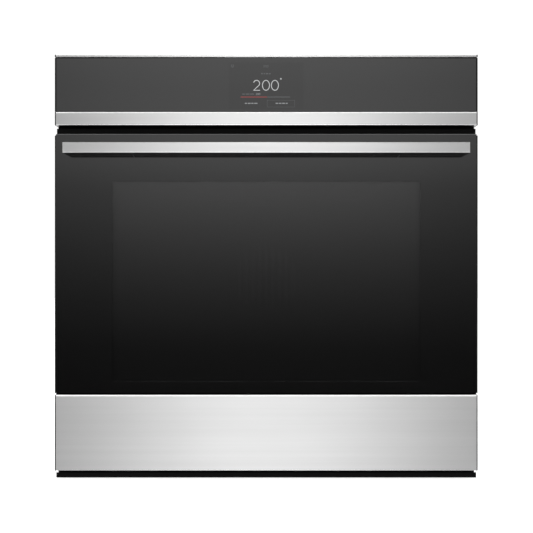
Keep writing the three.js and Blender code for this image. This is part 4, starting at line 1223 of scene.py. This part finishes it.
def control_board():
    """Power board: a green board with relays, connectors and capacitors, and a transformer and posts."""
    low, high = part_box("power_board")
    board = low.z + 8.7 * MM
    top = board + 1.6 * MM
    bm = bmesh.new()
    add_box(bm, (low.x, low.y, board), (high.x, low.y + 210 * MM, top), 0.3 * MM, 1)
    finish(bm, "power_board_sheet", "circuit_board", "power_board")
    bm = bmesh.new()
    for i in range(4):
        x, y = low.x + 60 * MM, low.y + (10 + 30 * i) * MM
        add_box(bm, (x, y, top), (x + 16 * MM, y + 22 * MM, top + 15 * MM), 1 * MM, 2)
    for i in range(6):
        y = low.y + (122 + 11 * i) * MM
        add_box(bm, (low.x + 8 * MM, y, top), (low.x + 34 * MM, y + 9 * MM, top + 10 * MM), 0.6 * MM, 1)
    capacitor = in_mm([(0, 0), (4.6, 0), (4.6, 15), (4, 16), (0, 15.6)])
    for i in range(3):
        add_lathe(bm, capacitor, (low.x + (66 + 12 * i) * MM, low.y + 150 * MM, top), (0, 0, 1), 20)
    finish(bm, "power_board_relays", "black_plastic")
    bm = bmesh.new()
    left, front = low.x + 8 * MM, low.y + 10 * MM
    add_box(bm, (left, front + 8 * MM, top), (left + 40 * MM, front + 28 * MM, top + 30 * MM), 0.6 * MM, 1)
    coil_high = (left + 32 * MM, front + 36 * MM, top + 26 * MM)
    add_box(bm, (left + 8 * MM, front, top + 4 * MM), coil_high, 3 * MM, 3)
    post = [(0, 0), (3 * MM, 0), (3 * MM, board - low.z), (0, board - low.z)]
    for x in (low.x + 5 * MM, high.x - 5 * MM):
        for y in (low.y + 5 * MM, low.y + 205 * MM):
            add_lathe(bm, post, (x, y, low.z), (0, 0, 1), 6)
    finish(bm, "power_board_metal", "galvanised_sheet")


# ---------------- camera, light and floor
CAMERA_PLACE = (0.00035, FRONT - 1.0431, 0.2995)
WHITE = 1.05

# Brightness of the studio in front of the oven: (degrees above the horizon, radiance).
STUDIO = [
    (-90, 0.2), (-58, 0.4), (-42, 3.0), (-24, 3.5), (-19, 2.2), (-14, 0.2), (-9.8, 0.10), (-8.3, 0.11),
    (-6.4, 0.13), (-5.3, 0.165), (-4.2, 0.215), (-2.6, 0.29), (-0.7, 0.40), (1.3, 0.55), (3.2, 0.73),
    (5.9, 1.02), (7.8, 1.42), (9.8, 1.66), (13.3, 1.70), (16, 1.95), (23, 3.1), (48, 3.1), (58, 2.7), (90, 2.5),
]


def make_camera():
    """The camera, level with the middle of the front."""
    data = bpy.data.cameras.new("camera")
    data.lens = 50
    data.sensor_width = 36
    camera = bpy.data.objects.new("camera", data)
    camera.location = CAMERA_PLACE
    camera.rotation_euler = (math.radians(90), 0, 0)
    bpy.context.scene.collection.objects.link(camera)
    bpy.context.scene.camera = camera


def rise(air, value, start, width):
    """From 0 at the start to 1 once the value is that width past it."""
    return air.math("DIVIDE", air.math("SUBTRACT", value, start), width, clamp=True)


def studio_front(air, height, away):
    """The light in front: graded by height, and centred, so that it falls off to the sides. In degrees."""
    stops = [((degrees + 90) / 180, value / 3) for degrees, value in STUDIO]
    level = air.math("MULTIPLY", air.ramp(rise(air, height, -90, 180), *stops), 3.0)
    above, overhead = rise(air, height, 16.0, 10.0), rise(air, height, 46.0, 10.0)
    below = rise(air, air.math("MULTIPLY", height, -1.0), 16.0, 10.0)
    ahead = air.math("SUBTRACT", air.math("SUBTRACT", 1.0, above), below)
    raised = air.math("SUBTRACT", above, overhead)
    off = air.math("POWER", air.math("DIVIDE", away, 20.5), 2.0)
    zones = ((raised, 1.62, 0.03), (overhead, 0.5, 0.35), (below, 0.9, 0.3), (ahead, 0.4, 0.4))
    side = 0.0
    for zone, strength, least in zones:
        fall = air.math("MAXIMUM", air.math("SUBTRACT", 1.0, air.math("MULTIPLY", off, strength)), least)
        side = air.math("MULTIPLY_ADD", fall, zone, side)
    return air.math("MULTIPLY", level, side)


def make_world():
    """A plain white backdrop. What the oven reflects is graded in front, and turns white further round."""
    world = bpy.data.worlds.new("studio")
    bpy.context.scene.world = world
    world.use_nodes = True
    air = Nodes(world.node_tree)
    x, y, z = air.node("SeparateXYZ", {0: air.node("TexCoord").outputs["Generated"]}).outputs
    height = air.math("DEGREES", air.math("ARCSINE", z))
    sideways = air.math("DEGREES", air.math("ARCTAN2", x, air.math("MULTIPLY", y, -1.0)))
    away = air.math("ABSOLUTE", sideways)
    backdrop = rise(air, away, 45.0, 40.0)
    front = air.math("MULTIPLY", studio_front(air, height, away), air.math("SUBTRACT", 1.0, backdrop))
    total = air.math("ADD", front, air.math("MULTIPLY", WHITE, backdrop))
    seen = air.node("LightPath").outputs["Is Camera Ray"]
    plain = air.math("MULTIPLY", seen, WHITE)
    lighting = air.math("MULTIPLY", air.math("SUBTRACT", 1.0, seen), total)
    background = world.node_tree.nodes["Background"]
    background.inputs["Color"].default_value = (1, 1, 1, 1)
    air.tree.links.new(air.math("ADD", plain, lighting), background.inputs["Strength"])


def make_floor():
    """A pale floor that fades out of reflections, so that the glass shows the graded studio."""
    bm = bmesh.new()
    bmesh.ops.create_circle(bm, cap_ends=True, radius=6.0, segments=96)
    paint = Paint("pale_floor", Roughness=0.9, Emission_Strength=0.42)
    paint.colour(paint.mix(paint.noise(3.0), grey(0.80), grey(0.82)))
    paint.shader.inputs["Emission Color"].default_value = (1, 1, 1, 1)
    floor = to_object(bm, "floor", paint.material)
    floor.location.z = -0.0002
    floor.visible_glossy = False


def make_lights():
    """Two large soft boxes, above and to the left, that only shape the matt surfaces."""
    boxes = (("top_softbox", (0.3, -0.6, 2.4), 2.2, 36), ("side_softbox", (-2.2, -1.4, 1.2), 1.6, 16))
    for name, position, size, power in boxes:
        data = bpy.data.lights.new(name, "AREA")
        data.size = size
        data.energy = power
        light = bpy.data.objects.new(name, data)
        light.location = position
        light.rotation_euler = (Vector((0, 0, 0.3)) - Vector(position)).to_track_quat("-Z", "Y").to_euler()
        light.visible_glossy = False
        bpy.context.scene.collection.objects.link(light)


finish_cad_nodes()
for make in (
    control_panel, control_panel_ends, display_glass, display_marks, door_glass, inner_panes, lower_panel,
    handle_bar, handle_posts, cavity_wires, shelf, runners, gasket, grill_heater, bake_heater, ring_heater,
    fan_wheel, lamps, probe, cavity_shell, fan_cover_trim, casing_screws, pressed_beads, rear_terminal_box,
    blower, blower_motor, fan_motor, control_board,
):
    make()
make_camera()
make_world()
make_floor()
make_lights()
bpy.context.scene.view_settings.view_transform = "Standard"
